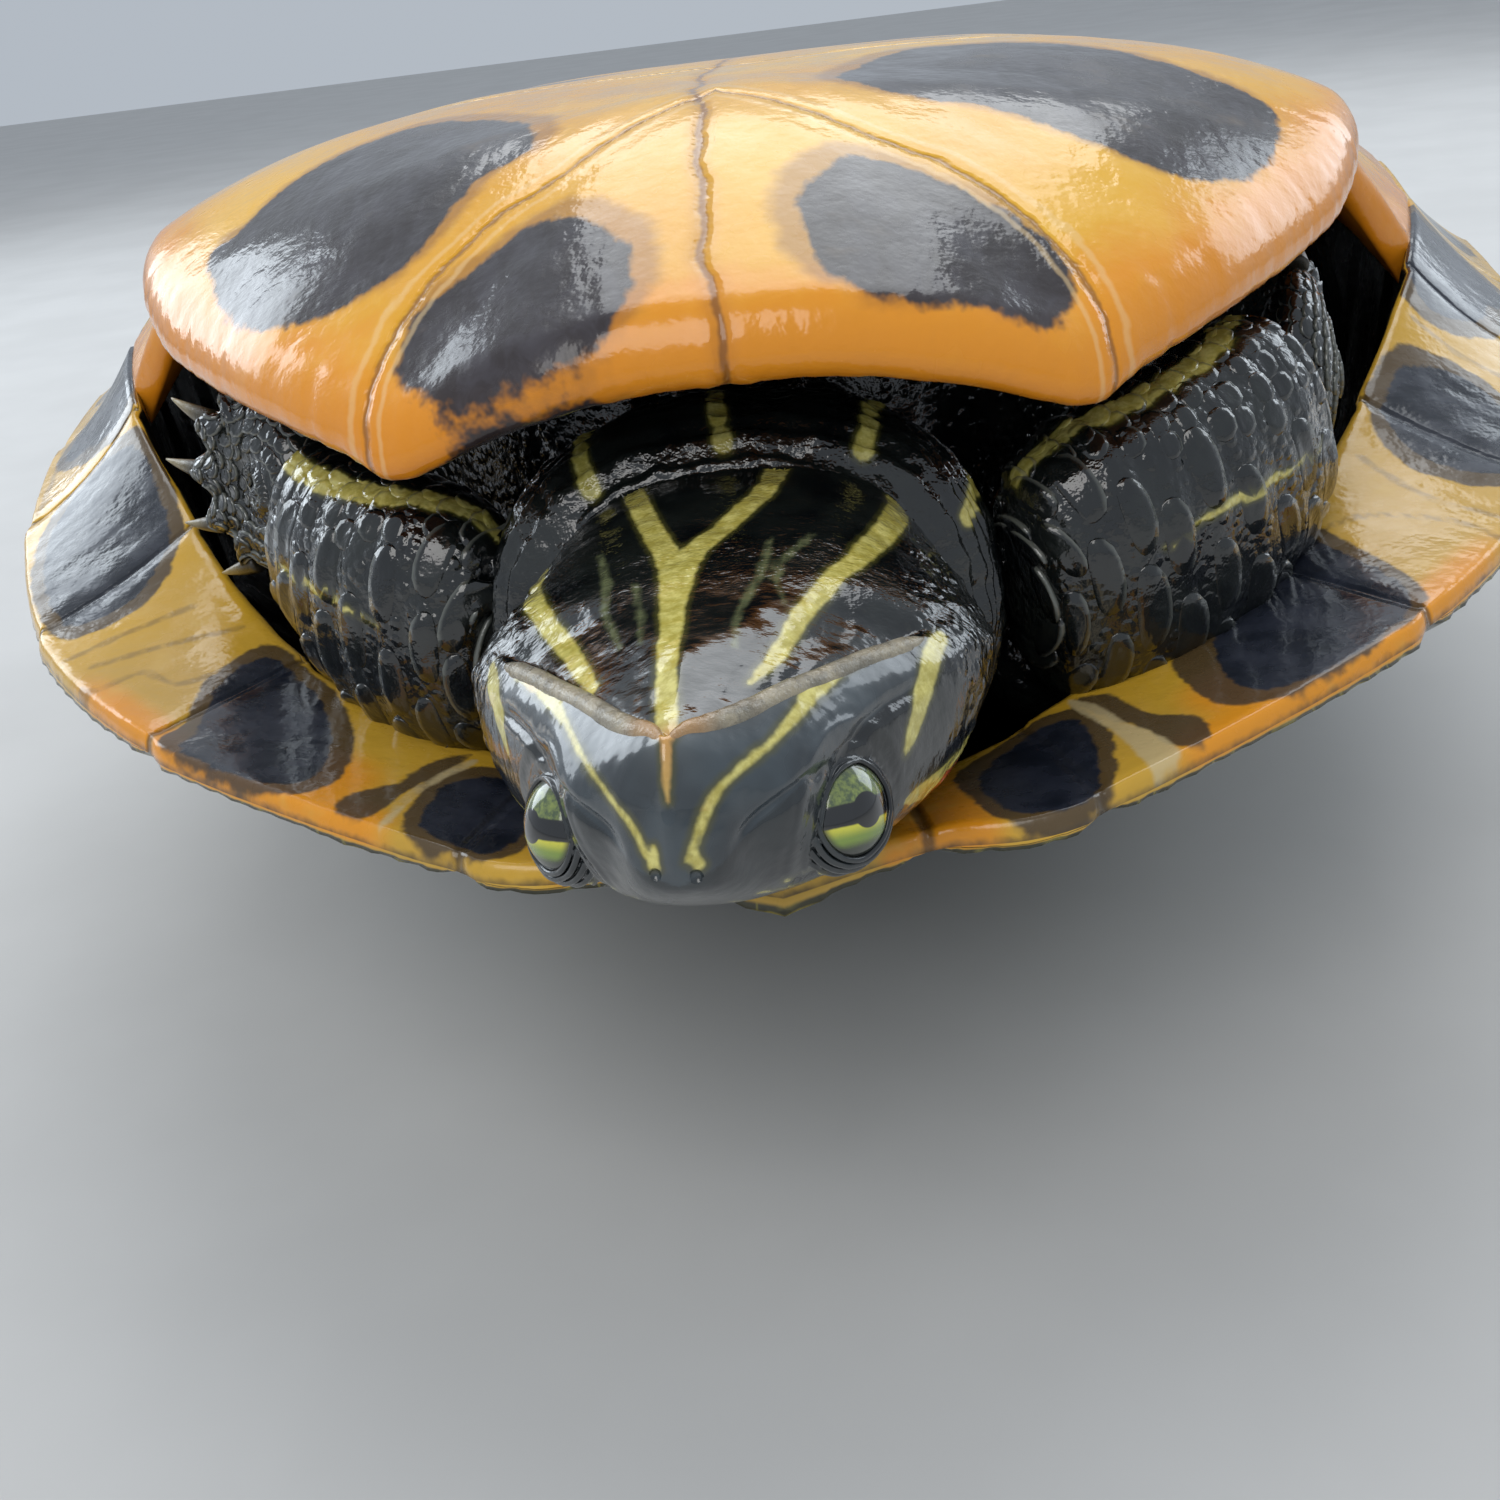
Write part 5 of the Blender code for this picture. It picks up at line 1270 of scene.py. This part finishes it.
tail = [(0, 212, 22, 8, 9), (0, 224, 25, 7.5, 8), (2, 236, 28, 6, 6.5), (8, 246, 30, 4.6, 5), (18, 250.5, 31, 3.2, 3.4),
        (30, 248.5, 31, 1.9, 2.0), (39, 244, 31, 1.0, 1.0)]
g, c, f = limb_grid(tail, 48, 90, relief=0.12, folds=0.10, seed=74, inset=0.15)
add_part("tail", g)
CENTRES["tail"] = (g, f)
neck = [(-2, 18.5, 12, 16.3, 20.6), (-2, 24, 11, 18.8, 22.6), (-1.5, 31, 9, 20, 23.4), (-1, 40, 6, 20, 22), (0, 50, 2, 19, 20), (0, 62, -2, 17, 18)]
g, c, f = limb_grid(neck, 260, 190, relief=0.22, folds=0.30, seed=75, period=2.0, wrinkle=0.26, cap=0.20)
add_part("neck", g)
CENTRES["neck"] = (g, f)


# ------------------------------------------------------------------- trunk --
def tree(ob):
    me = ob.data
    return BVHTree.FromPolygons([v.co for v in me.vertices], [p.vertices for p in me.polygons])


tree_c, tree_p = tree(carapace), tree(plastron)


def level(bvh, x, y, direction, default):
    hit = bvh.ray_cast(Vector(place((x, y, 10.0))), Vector((0, 0, direction)))[0]
    return unplace(hit)[2] if hit is not None else default


TRUNK_EDGE = [(0.0, 47.0), (17.0, 48.0), (30.0, 56.0), (43.0, 71.0), (57.0, 87.0), (72.0, 99.0), (80.0, 118.0), (82.0, 140.0),
              (78.0, 160.0), (66.0, 178.0), (55.0, 196.0), (42.0, 212.0), (24.0, 222.0), (0.0, 226.0)]
sheets = np.array([0.02, 0.2, 0.42, 0.6, 0.76, 0.86, 0.93, 0.975, 1.0])
rings = np.concatenate([sheets, [1.012], sheets[::-1]])
lower = np.concatenate([np.ones(len(sheets)), [0], -np.ones(len(sheets))])
g = np.zeros((len(rings), 72, 3))
for m in range(72):
    a = m / 72 * 2 * np.pi
    sd = 1.0 if math.cos(a) >= 0 else -1.0
    tt = abs(math.atan2(math.sin(a), math.cos(a)) + math.pi / 2)
    tt = tt if tt <= math.pi else 2 * math.pi - tt
    x, y = spline(TRUNK_EDGE, np.array(tt / math.pi))
    cy = 60.0 + 150.0 * (tt / math.pi)
    for n, (s, lw) in enumerate(zip(rings, lower)):
        px, py = sd * x * s, cy + (y - cy) * s
        lo = level(tree_c, px, py, -1.0, -30.0) + 1.0
        hi = level(tree_p, px, py, 1.0, 40.0) - 1.0
        sq = (hi - lo) * 0.5 * (1 - math.sqrt(max(0.0, 1 - max(0.0, (s - 0.86) / 0.15) ** 2))) if s > 0.86 else 0.0
        z = (lo + hi) / 2 if lw == 0 else (lo + min(sq, (hi - lo) * 0.45) if lw > 0 else hi - min(sq, (hi - lo) * 0.45))
        g[n, m] = (px, py, z)
add_part("trunk", g)

# ---------------------------------------------------------------- one skin --
TREES = {name: tree(ob) for name, ob in PARTS}
skin = PARTS[0][1]
skin.name = skin.data.name = "skin"


def boolean(ob, others, op):
    for other in others:
        m = ob.modifiers.new("b", "BOOLEAN")
        m.operation = op
        m.solver = "MANIFOLD" if "MANIFOLD" in [e.identifier for e in m.bl_rna.properties["solver"].enum_items] else "EXACT"
        m.object = other
        dg = bpy.context.evaluated_depsgraph_get()
        me = bpy.data.meshes.new_from_object(ob.evaluated_get(dg))
        if len(me.vertices) < 100:
            m.solver = "EXACT"
            dg = bpy.context.evaluated_depsgraph_get()
            me = bpy.data.meshes.new_from_object(ob.evaluated_get(dg))
        ob.modifiers.clear()
        ob.data = me
        bpy.data.objects.remove(other, do_unlink=True)


# nostrils
pits = []
for x, b, v, r in ((-1.45, 0.2, -8.6, 0.55), (1.25, 0.2, -8.9, 0.62)):
    th = np.linspace(0.05, np.pi - 0.05, 12)
    fi = np.arange(16) / 16 * 2 * np.pi
    g = np.stack([np.stack([x + r * math.sin(q) * np.cos(fi), b + 1.5 * r * math.sin(q) * np.sin(fi), np.full(16, v + 1.15 * r * math.cos(q))], -1) for q in th])
    pits.append(tube_grid("pit", head_to_frame(g)))
boolean(skin, pits, "DIFFERENCE")
boolean(skin, LIDS, "UNION")
boolean(skin, [ob for name, ob in PARTS[1:]], "UNION")
skin.data.name = "skin"
skin.data.materials.clear()
skin.data.materials.append(M_SKIN)
skin.data.shade_smooth()
print("skin faces", len(skin.data.polygons))

# which part each point belongs to, then a light smoothing where two parts meet
co = coords(skin)
names = [n for n, _ in PARTS]
best, owner = np.full(len(co), 1e9), np.zeros(len(co), int)
for k, name in enumerate(names):
    tr = TREES[name]
    for i, p in enumerate(co):
        hit = tr.find_nearest(p, 0.004)
        if hit[0] is not None and hit[3] < best[i] - 1e-7:
            best[i] = hit[3]
            owner[i] = k
bm = bmesh.new()
bm.from_mesh(skin.data)
bm.verts.ensure_lookup_table()
joint = set()
keep = {names.index("head"), names.index("neck")}
for e in bm.edges:
    a, b = e.verts
    oa, ob_ = owner[a.index], owner[b.index]
    if oa != ob_ and {oa, ob_} != keep:
        joint.update((a, b))
for _ in range(2):
    joint |= {e.other_vert(v) for v in joint for e in v.link_edges}
joint = [v for v in joint if not (owner[v.index] == names.index("head"))]
for _ in range(5):
    bmesh.ops.smooth_vert(bm, verts=joint, factor=0.5, use_axis_x=True, use_axis_y=True, use_axis_z=True)
bm.to_mesh(skin.data)
bm.free()
co = coords(skin)
FP = unplace(co)

# ---- markings of the skin ----
HL = frame_to_head(FP)
head_tree = TREES["head"]


def snap(points, bvh, to_frame=True, n=40):
    line = spline(points, np.linspace(0, 1, n))
    w = place(head_to_frame(line) if to_frame else line)
    return unplace(np.array([bvh.find_nearest(p)[0] for p in w]))


is_head = owner == names.index("head")
is_neck = owner == names.index("neck")
stripe = np.full(len(co), 9.0)
warm = np.zeros(len(co))
green = np.full(len(co), 9.0)


def paint(line, widths, sel):
    idx = np.where(sel)[0]
    w = np.interp(np.linspace(0, 1, len(line)), np.linspace(0, 1, len(widths)), widths)
    return idx, line_distance(FP[idx], line, w)


def add_stripe(points, widths, bvh=head_tree, sel=None, to_frame=True, into=stripe):
    sel = is_head if sel is None else sel
    line = snap(points, bvh, to_frame)
    idx, d = paint(line, widths, sel)
    into[idx] = np.minimum(into[idx], d)


# Y of the throat, side stripes, face stripes
add_stripe([(0.1, 0.9, 0.6), (-0.2, 2.9, -0.1), (-0.8, 7.4, 1.5), (-1.5, 14.5, 3.7), (-2.0, 19.5, 5.3), (-2.4, 24.1, 7.8)],
           [0.60, 0.80, 0.85, 0.85, 1.0, 1.5])
add_stripe([(-2.3, 23.2, 7.4), (-3.2, 26.2, 8.7), (-4.6, 29.4, 9.9), (-6.5, 34.2, 11.8), (-8.7, 41.1, 13.5), (-9.4, 46, 14)], [1.3, 1.15, 1.0, 0.95, 1.0, 1.1])
add_stripe([(-2.3, 23.2, 7.4), (-1.4, 27.0, 9.2), (0.6, 30.6, 10.8), (2.3, 33.8, 12), (3.5, 37.7, 13.2), (3.9, 44, 14.4)], [1.3, 1.1, 1.0, 0.95, 1.0, 1.1])
add_stripe([(4.6, 9.8, 2.3), (5.8, 13.5, 2.7), (7.2, 19.3, 4.5), (9.2, 23.8, 6.3), (11.3, 27.6, 8), (13.5, 35, 9.4), (15, 43.9, 11.5)],
           [0.25, 0.65, 0.8, 0.9, 1.0, 1.15, 1.2])
add_stripe([(-6.2, 9.6, 2.2), (-8.2, 13.6, 2.8), (-10, 18.4, 3.4), (-13, 23.8, 5.1), (-15.4, 30, 6.4), (-17, 40, 7.5)],
           [0.3, 0.7, 0.85, 0.9, 0.95, 1.0])
add_stripe([(-14.6, 18.9, 2.0), (-12.6, 16.2, 2.0), (-10.8, 13.4, 1.6), (-8.5, 8.5, 0.3), (-6.6, 5, -1.4), (-4.5, 2.2, -3.2), (-2.7, 0.8, -5.2), (-1.6, 0.5, -7.5)],
           [0.3, 0.80, 0.85, 0.34, 0.28, 0.32, 0.34, 0.3])
add_stripe([(11.6, 16.6, 3.0), (10.4, 14.0, 2.5), (9.1, 11.3, 1.5), (7.9, 7.8, 0.2), (6.4, 5, -1.1), (4.7, 2.7, -2.1), (2.9, 0.9, -3.5), (1.8, 0.4, -5.6), (0.95, 0.2, -7.6)],
           [0.3, 0.9, 0.95, 0.42, 0.34, 0.34, 0.38, 0.38, 0.4])
add_stripe([(17.6, 23.0, 2.4), (16.7, 20.4, 1.1), (15.9, 18.4, -1.1), (15.1, 16.8, -3.3), (14.4, 15.9, -4.8)], [0.5, 0.95, 0.95, 0.8, 0.4])
add_stripe([(-17.8, 23.4, 2.0), (-16.8, 20.4, 0.6), (-15.9, 18.4, -1.4), (-15.0, 16.8, -3.6)], [0.5, 0.9, 0.8, 0.4])
add_stripe([(0.15, 0.5, 0.2), (0.2, 0.0, -0.9), (0.1, -0.3, -2.1), (0.1, -0.4, -3.4)], [0.45, 0.42, 0.30, 0.12])
for side in (1, -1):
    add_stripe([(side * 1.25, 0.3, -6.6), (side * 1.45, 0.4, -7.9)], [0.30, 0.50])
# stripes of the crown and cheek, from the species: a broad bar behind each eye
ear = np.full(len(co), 9.0)
for side in (1, -1):
    add_stripe([(side * 14.6, 17.4, -9.2), (side * 17.0, 22, -9.4), (side * 19.0, 28, -8.8), (side * 20.2, 35, -7.4), (side * 20, 42, -6)],
               [0.5, 1.7, 2.4, 2.0, 1.0])
    ln = snap([(side * 17.0, 23.0, -11.2), (side * 18.4, 27.5, -11.0), (side * 19.6, 33.5, -9.6)], head_tree)
    idx, d = paint(ln, [1.2, 2.0, 1.5], is_head)
    ear[idx] = np.minimum(ear[idx], d)
    for off in (4.5, 8.5, 12.5):
        add_stripe([(side * off * 0.6, 6.0, -14), (side * off, 16, -16), (side * (off + 1), 28, -16), (side * (off + 1), 44, -14)],
                   [0.2, 0.32, 0.4, 0.4])
for pts, w in (([(-5.6, 15.5, 4.0), (-7.3, 20.5, 5.4), (-7.9, 25.0, 6.8), (-9.2, 29.5, 8.6)], [0.06, 0.17, 0.24, 0.1]),
               ([(-3.6, 15.0, 3.8), (-4.4, 19.0, 5.2), (-5.6, 23.5, 7.0)], [0.05, 0.15, 0.06]),
               ([(2.9, 13.5, 3.4), (3.0, 18.5, 5.0), (4.1, 24.0, 7.6), (4.4, 29.0, 9.2)], [0.05, 0.16, 0.22, 0.08]),
               ([(5.9, 20.0, 5.2), (5.3, 24.5, 7.2), (7.5, 29.5, 9.2)], [0.05, 0.20, 0.08])):
    add_stripe(pts, w, into=green)
# neck: the stripes run on over the collar
nt = TREES["neck"]
NECK_LINES = []
for pts, w in (([(-13.2, 21.3, 24.6), (-13.6, 22.4, 25.5), (-14.4, 29, 27), (-15, 44, 25)], 0.95),
               ([(-1.7, 21.6, 27.4), (-1.8, 23.1, 28.0), (-2.4, 31, 29.2), (-3, 44, 26)], 1.0),
               ([(10.2, 21.8, 25.5), (10.5, 23.2, 26.2), (12, 30, 28), (13, 44, 25)], 1.0),
               ([(19.9, 22.2, 18.6), (20.5, 24.8, 19.4), (21.4, 34, 20), (21.8, 44, 20)], 0.95),
               ([(-20.9, 22.5, 16), (-21.6, 25, 17), (-22, 34, 18), (-22, 44, 18)], 0.8)):
    c = spline(pts, np.linspace(0, 1, 60))
    for lo, hi, k in ((21.0, 23.7, 1.0), (24.5, 27.2, 0.95), (28.0, 31.5, 0.9), (32.2, 44, 0.9)):
        sel = (c[:, 1] >= lo) & (c[:, 1] <= hi)
        if sel.sum() > 2:
            seg = c[sel][[0, sel.sum() // 2, -1]]
            if pts[0][0] > -20:
                NECK_LINES.append(([tuple(p) for p in seg], [w * k * 0.85, w * k, w * k * 0.85]))
for pts, w in NECK_LINES:
    add_stripe(pts, w, bvh=nt, sel=is_neck, to_frame=False)
# limbs: lengthwise stripes
for side, tag in ((1, "R"), (-1, "L")):
    for part, lines in (("forearm_" + tag, [([(side * 22.7, 27.4, 20.1), (side * 33.9, 30.4, 23.9), (side * 42.9, 38.2, 24.9), (side * 48.8, 51, 25.8)], [1.1, 1.25, 1.2, 0.8]),
                                            ([(side * 34.5, 25.0, 13.0), (side * 38, 27, 14.4), (side * 41.1, 29.6, 15.2), (side * 49, 40, 16)], [0.1, 0.35, 0.5, 0.35]),
                                            ([(side * 28, 24, -3), (side * 38, 31, -1), (side * 46, 40, 4)], [0.3, 0.5, 0.4])]),
                        ("shin_" + tag, [([(side * 77, 185, 30), (side * 76, 200, 32), (side * 62, 217, 33)], [0.8, 1.2, 0.6])]),
                        ("thigh_" + tag, [([(side * 40, 168, 18), (side * 56, 173, 26), (side * 72, 182, 30)], [0.8, 1.3, 0.9])]),
                        ("foot_" + tag, [([(side * 52, 214, 34), (side * 44, 226, 36), (side * 34, 236, 36)], [0.7, 0.8, 0.3])])):
        bvh = TREES[part]
        sel = owner == names.index(part)
        for pts, w in lines:
            add_stripe(pts, w, bvh=bvh, sel=sel, to_frame=False)
tt = TREES["tail"]
sel = owner == names.index("tail")
for dz in (5.5, -5.5):
    add_stripe([(0, 216, 24 + dz), (1, 232, 27 + dz * 0.8), (10, 247, 30.5 + dz * 0.5), (30, 248.5, 31 + dz * 0.2)], [0.7, 0.7, 0.5, 0.2], bvh=tt, sel=sel, to_frame=False)
hx, hb, hv = HL[:, 0], HL[:, 1], HL[:, 2]
inw = chin_depth(HL)
low_edge = np.interp(np.abs(hx), BEAK_X, BEAK_V)
beak = is_head * (1 - smooth(-0.1, 0.3, inw)) * smooth(-0.35, 0.35, hv - low_edge) * (1 - smooth(17.5, 19.5, hb))
snout = is_head * (1 - smooth(-0.1, 0.3, inw)) * (1 - smooth(9, 15, hb)) * 0.35
beak = np.maximum(beak, snout)
warm = is_head * np.maximum(np.exp(-((hx / 2.2) ** 2 + ((hb - 1.5) / 2.6) ** 2)) * (hv > -4.5), 0)
warm = np.maximum(warm, is_head * 0.55 * np.exp(-(((np.abs(hx) - 12.3) / 1.6) ** 2 + ((hb - 16) / 2.6) ** 2 + ((hv - 1) / 2) ** 2)))
cheek = smooth(20, 26, hb) * smooth(13.0, 16.5, np.abs(hx))
granular = np.where(is_head, cheek, np.where(is_neck, 0.35, 0.8))
near_edge = is_head * np.where(inw < 0.3, np.exp(-np.clip(-inw, 0, 9) / 1.5), 0) * (1 - smooth(19, 23, hb))
attribute(skin, "stripe", np.clip(stripe, -3, 3))
attribute(skin, "green", np.clip(green, -3, 3))
attribute(skin, "warm", warm)
attribute(skin, "beak", beak)
attribute(skin, "granular", granular)
attribute(skin, "near_edge", near_edge)
attribute(skin, "ear", np.clip(ear, -3, 3))
attribute(skin, "wrinkle", np.where(is_head, 0.25 + 0.85 * smooth(19, 28, hb), 1.0) * (1 - 0.7 * beak))
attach(skin, "root")
FLESH = ["head", "lower_jaw", "neck", "trunk", "tail"] + [f"{p}_{t}" for p in ("upper_arm", "forearm", "hand", "thigh", "shin", "foot") for t in "RL"]
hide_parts(*FLESH)


# -------------------------------------------------------------------- claws --
for key, claws in CLAWS.items():
    verts, faces, along, base = [], [], [], 0
    for g, s in claws:
        nr, ns = g.shape[:2]
        i = base + np.arange(nr * ns).reshape(nr, ns)
        verts.append(place(g.reshape(-1, 3)))
        along.append(np.repeat(s, ns))
        a, b = i[:-1], np.roll(i, -1, 1)[:-1]
        c, d = np.roll(i, -1, 1)[1:], i[1:]
        faces += np.stack([a, b, c, d], -1).reshape(-1, 4).tolist()
        faces.append(i[0, ::-1].tolist())
        faces.append(i[-1].tolist())
        base += nr * ns
    ob = new_object("claws_" + key, np.concatenate(verts), faces, [M_CLAW])
    outwards(ob)
    attribute(ob, "along", np.concatenate(along))
    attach(ob, "root")
    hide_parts(*[f"claw_{key}_{n + 1}" for n in range(len(claws))])


# ------------------------------------------------------------------- scales --
skin_tree = tree(skin)
RNG = np.random.default_rng(7)


def lens(centre, normal, along_dir, half_len, half_wid, height, seg=10):
    """One scale: a plate of horn whose near end is sunk in the skin and whose far edge is raised."""
    side = np.cross(normal, along_dir)
    a = np.arange(seg) / seg * 2 * np.pi
    ca, sa = np.cos(a), np.sin(a)
    m = (np.abs(ca) ** 2.6 + np.abs(sa) ** 2.6) ** (-1 / 2.6)
    bow = -0.22 * half_len * sa * sa
    ring = along_dir * ((ca * m * half_len) + bow)[:, None] + side * (sa * m * half_wid)[:, None]
    rise = height * (0.10 + 0.90 * smooth(-0.6, 0.8, ca))
    flat = np.concatenate([centre + ring, centre + ring * 0.93, centre + ring * 0.55, centre[None], centre[None]])
    lift = np.concatenate([np.full(seg, -0.10), rise, rise * 0.72 + height * 0.12, [height * 0.55], [-0.25]])
    v = np.empty_like(flat)
    for k, (p, h) in enumerate(zip(flat, lift)):
        hit, nn, _, _ = skin_tree.find_nearest(Vector(place(p)))
        q = unplace(np.array(hit))
        v[k] = (q if np.linalg.norm(q - p) < 1.6 else p) + normal * h
    faces = []
    for r in range(2):
        for k in range(seg):
            faces.append((r * seg + k, r * seg + (k + 1) % seg, (r + 1) * seg + (k + 1) % seg, (r + 1) * seg + k))
    for k in range(seg):
        faces.append((2 * seg + k, 2 * seg + (k + 1) % seg, 3 * seg))
        faces.append(((k + 1) % seg, k, 3 * seg + 1))
    far = smooth(0.0, 0.7, ca)
    rim = np.concatenate([far, far, far * 0.15, [0.0], [0.0]])
    c2 = np.stack([ca, sa], 1)
    uv = np.concatenate([c2, c2 * 0.85, c2 * 0.5, [[0, 0]], [[0.2, 0.2]]])
    return v, faces, rim, uv


def scale_piece(name, parts, cell):
    """parts: list of (part name, lattice of (u index, v index) -> size). Builds one joined mesh."""
    V, F, RIMW, UV, ROOT, base = [], [], [], [], [], 0
    for pi, (part, du, dv, hl, hw, hh, pick) in enumerate(parts):
        g = CENTRES[part][0]
        nr, ns = g.shape[:2]
        # lattice spaced in mm along and around
        mid = g[nr // 2]
        L = np.linalg.norm(np.diff(g.mean(1), axis=0), axis=1).sum()
        C = np.linalg.norm(np.diff(np.vstack([mid, mid[:1]]), axis=0), axis=1).sum()
        if CENTRES[part][1] is None:
            L = np.linalg.norm(np.diff(g[:, 0], axis=0), axis=1).sum()
        n_u, n_v = max(3, int(L / du)), max(6, int(C / dv))
        for iu in range(n_u):
            for iv in range(n_v):
                fu = (iu + 0.5) / n_u
                fv = ((iv + 0.5 * (iu % 2)) / n_v + RNG.normal(0, 0.006)) % 1.0
                fu = min(max(fu + RNG.normal(0, 0.004), 0.02), 0.98)
                r0, s0 = fu * (nr - 1), fv * ns
                r1, s1 = int(r0), int(s0)
                p = g[r1, s1 % ns] * (1 - (r0 - r1)) + g[min(r1 + 1, nr - 1), s1 % ns] * (r0 - r1)
                q = g[r1, (s1 + 1) % ns] * (1 - (r0 - r1)) + g[min(r1 + 1, nr - 1), (s1 + 1) % ns] * (r0 - r1)
                p = p * (1 - (s0 - s1)) + q * (s0 - s1)
                if pick is not None and not pick(p):
                    continue
                near, nrm, _, dist = skin_tree.find_nearest(Vector(place(p)))
                if near is None or dist > 0.0006:
                    continue
                t = g[min(r1 + 1, nr - 1), s1 % ns] - g[max(r1 - 1, 0), s1 % ns]
                nrm = np.array(nrm)
                t = unit(t)
                t = unit(t - nrm * (t @ nrm))
                k = 1 + RNG.normal(0, 0.10)
                edge_k = min(1.0, 0.55 + 3.0 * min(fu, 1 - fu)) if CENTRES[part][1] is None else min(1.0, 0.7 + 2.0 * min(fu, 1 - fu))
                v, f, rim, uv = lens(unplace(np.array(near)), nrm, t, hl * k * edge_k, hw * k * edge_k, hh, seg=18 if hw > 2.4 else 10)
                V.append(v)
                F += [tuple(base + x for x in ff) for ff in f]
                RIMW.append(rim)
                u0 = (cell + (fu * 0.9 + 0.05)) / 4.0
                v0 = (pi + fv * 0.9 + 0.05) / len(parts)
                UV.append(uv * 0.0015 + np.array((u0, v0)))
                ROOT.append(np.repeat(p[None], len(v), 0))
                base += len(v)
    V, RIMW, UV, ROOT = np.concatenate(V), np.concatenate(RIMW), np.concatenate(UV), np.concatenate(ROOT)
    ob = new_object(name, place(V), F, [M_SCALES])
    lay = ob.data.uv_layers.new(name="OFBake")
    li = np.zeros(len(ob.data.loops), np.int64)
    ob.data.loops.foreach_get("vertex_index", li)
    lay.data.foreach_set("uv", UV[li].astype(np.float32).ravel())
    # the same markings as the skin under it
    st_v = np.zeros(len(V))
    near_ids = np.array([skin_kd.find(place(p))[1] for p in V])
    for at, src in (("stripe", np.clip(stripe, -3, 3)), ("green", np.clip(green, -3, 3)), ("warm", warm), ("beak", beak)):
        attribute(ob, at, src[near_ids])
    attribute(ob, "granular", np.zeros(len(V)))
    attribute(ob, "near_edge", np.zeros(len(V)))
    attribute(ob, "wrinkle", np.full(len(V), 0.6))
    attribute(ob, "rim", RIMW)
    print(name, "faces", len(ob.data.polygons))
    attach(ob, "root")
    return ob


from mathutils.kdtree import KDTree
skin_kd = KDTree(len(co))
for i, p in enumerate(co):
    skin_kd.insert(p, i)
skin_kd.balance()
for cell, tag in enumerate(("R", "L")):
    sd = 1 if tag == "R" else -1
    lower = lambda p: p[1] < 36 + 0.5 * (abs(p[0]) - 35) and p[2] < 20.5
    scale_piece("scales_fore_" + tag, [
        ("forearm_" + tag, 2.9, 7.6, 1.62, 3.9, 0.42, lower),
        ("forearm_" + tag, 2.2, 2.9, 1.2, 1.5, 0.26, lambda p: not lower(p)),
        ("hand_" + tag, 1.9, 2.4, 1.0, 1.2, 0.28, None)], cell)
    scale_piece("scales_hind_" + tag, [
        ("shin_" + tag, 2.3, 2.5, 1.1, 1.3, 0.30, None), ("thigh_" + tag, 2.3, 2.5, 1.1, 1.3, 0.28, None),
        ("foot_" + tag, 2.0, 2.4, 0.95, 1.15, 0.28, None)], cell + 2)
scale_piece("scales_tail", [("tail", 1.9, 1.7, 0.9, 0.85, 0.24, None)], 0)

# --------------------------------------------------------------- the stage --
bpy.ops.mesh.primitive_plane_add(size=6.0, location=(0, 0, 0))
floor = bpy.context.object
floor.name = "floor"
floor.data.materials.append(floor_material())

world = bpy.data.worlds.new("pale")
bpy.context.scene.world = world
world.use_nodes = True
world.node_tree.nodes["Background"].inputs["Color"].default_value = (0.82, 0.90, 1.0, 1.0)
world.node_tree.nodes["Background"].inputs["Strength"].default_value = 0.55


def area(name, at, aim, size, power, colour=(1, 1, 1)):
    li = bpy.data.lights.new(name, "AREA")
    li.energy = power
    li.size = size
    li.color = colour
    ob = bpy.data.objects.new(name, li)
    ob.location = at
    ob.rotation_euler = (Vector(aim) - Vector(at)).to_track_quat("-Z", "Y").to_euler()
    bpy.context.scene.collection.objects.link(ob)


area("sky", (0.05, 0.55, 0.95), (0, 0.0, 0.05), 0.9, 5.7, (0.95, 0.98, 1.0))
area("front", (-0.25, -0.8, 0.9), (0, -0.05, 0.06), 0.7, 4.9, (1.0, 0.98, 0.95))
area("back_right", (0.8, 0.5, 0.45), (0, 0, 0.07), 0.5, 1.8, (0.85, 0.93, 1.0))
area("back_left", (-0.8, 0.5, 0.45), (0, 0, 0.07), 0.5, 2.6, (0.85, 0.93, 1.0))

cam_data = bpy.data.cameras.new("camera")
cam_data.lens = 37.632
cam_data.sensor_width = 36.0
cam_data.sensor_fit = "HORIZONTAL"
cam_data.clip_start = 0.005
cam = bpy.data.objects.new("camera", cam_data)
fwd = Vector((-0.063, 0.893, -0.445)).normalized()
upv = Vector((0.096, 0.449, 0.888))
upv = (upv - fwd * upv.dot(fwd)).normalized()
rgt = fwd.cross(upv)
m = Matrix((rgt, upv, -fwd)).transposed().to_4x4()
m.translation = Vector(place((6.4, -105.8, 62.3)))
cam.matrix_world = m
bpy.context.scene.collection.objects.link(cam)
bpy.context.scene.camera = cam
bpy.context.scene.view_settings.view_transform = "Standard"

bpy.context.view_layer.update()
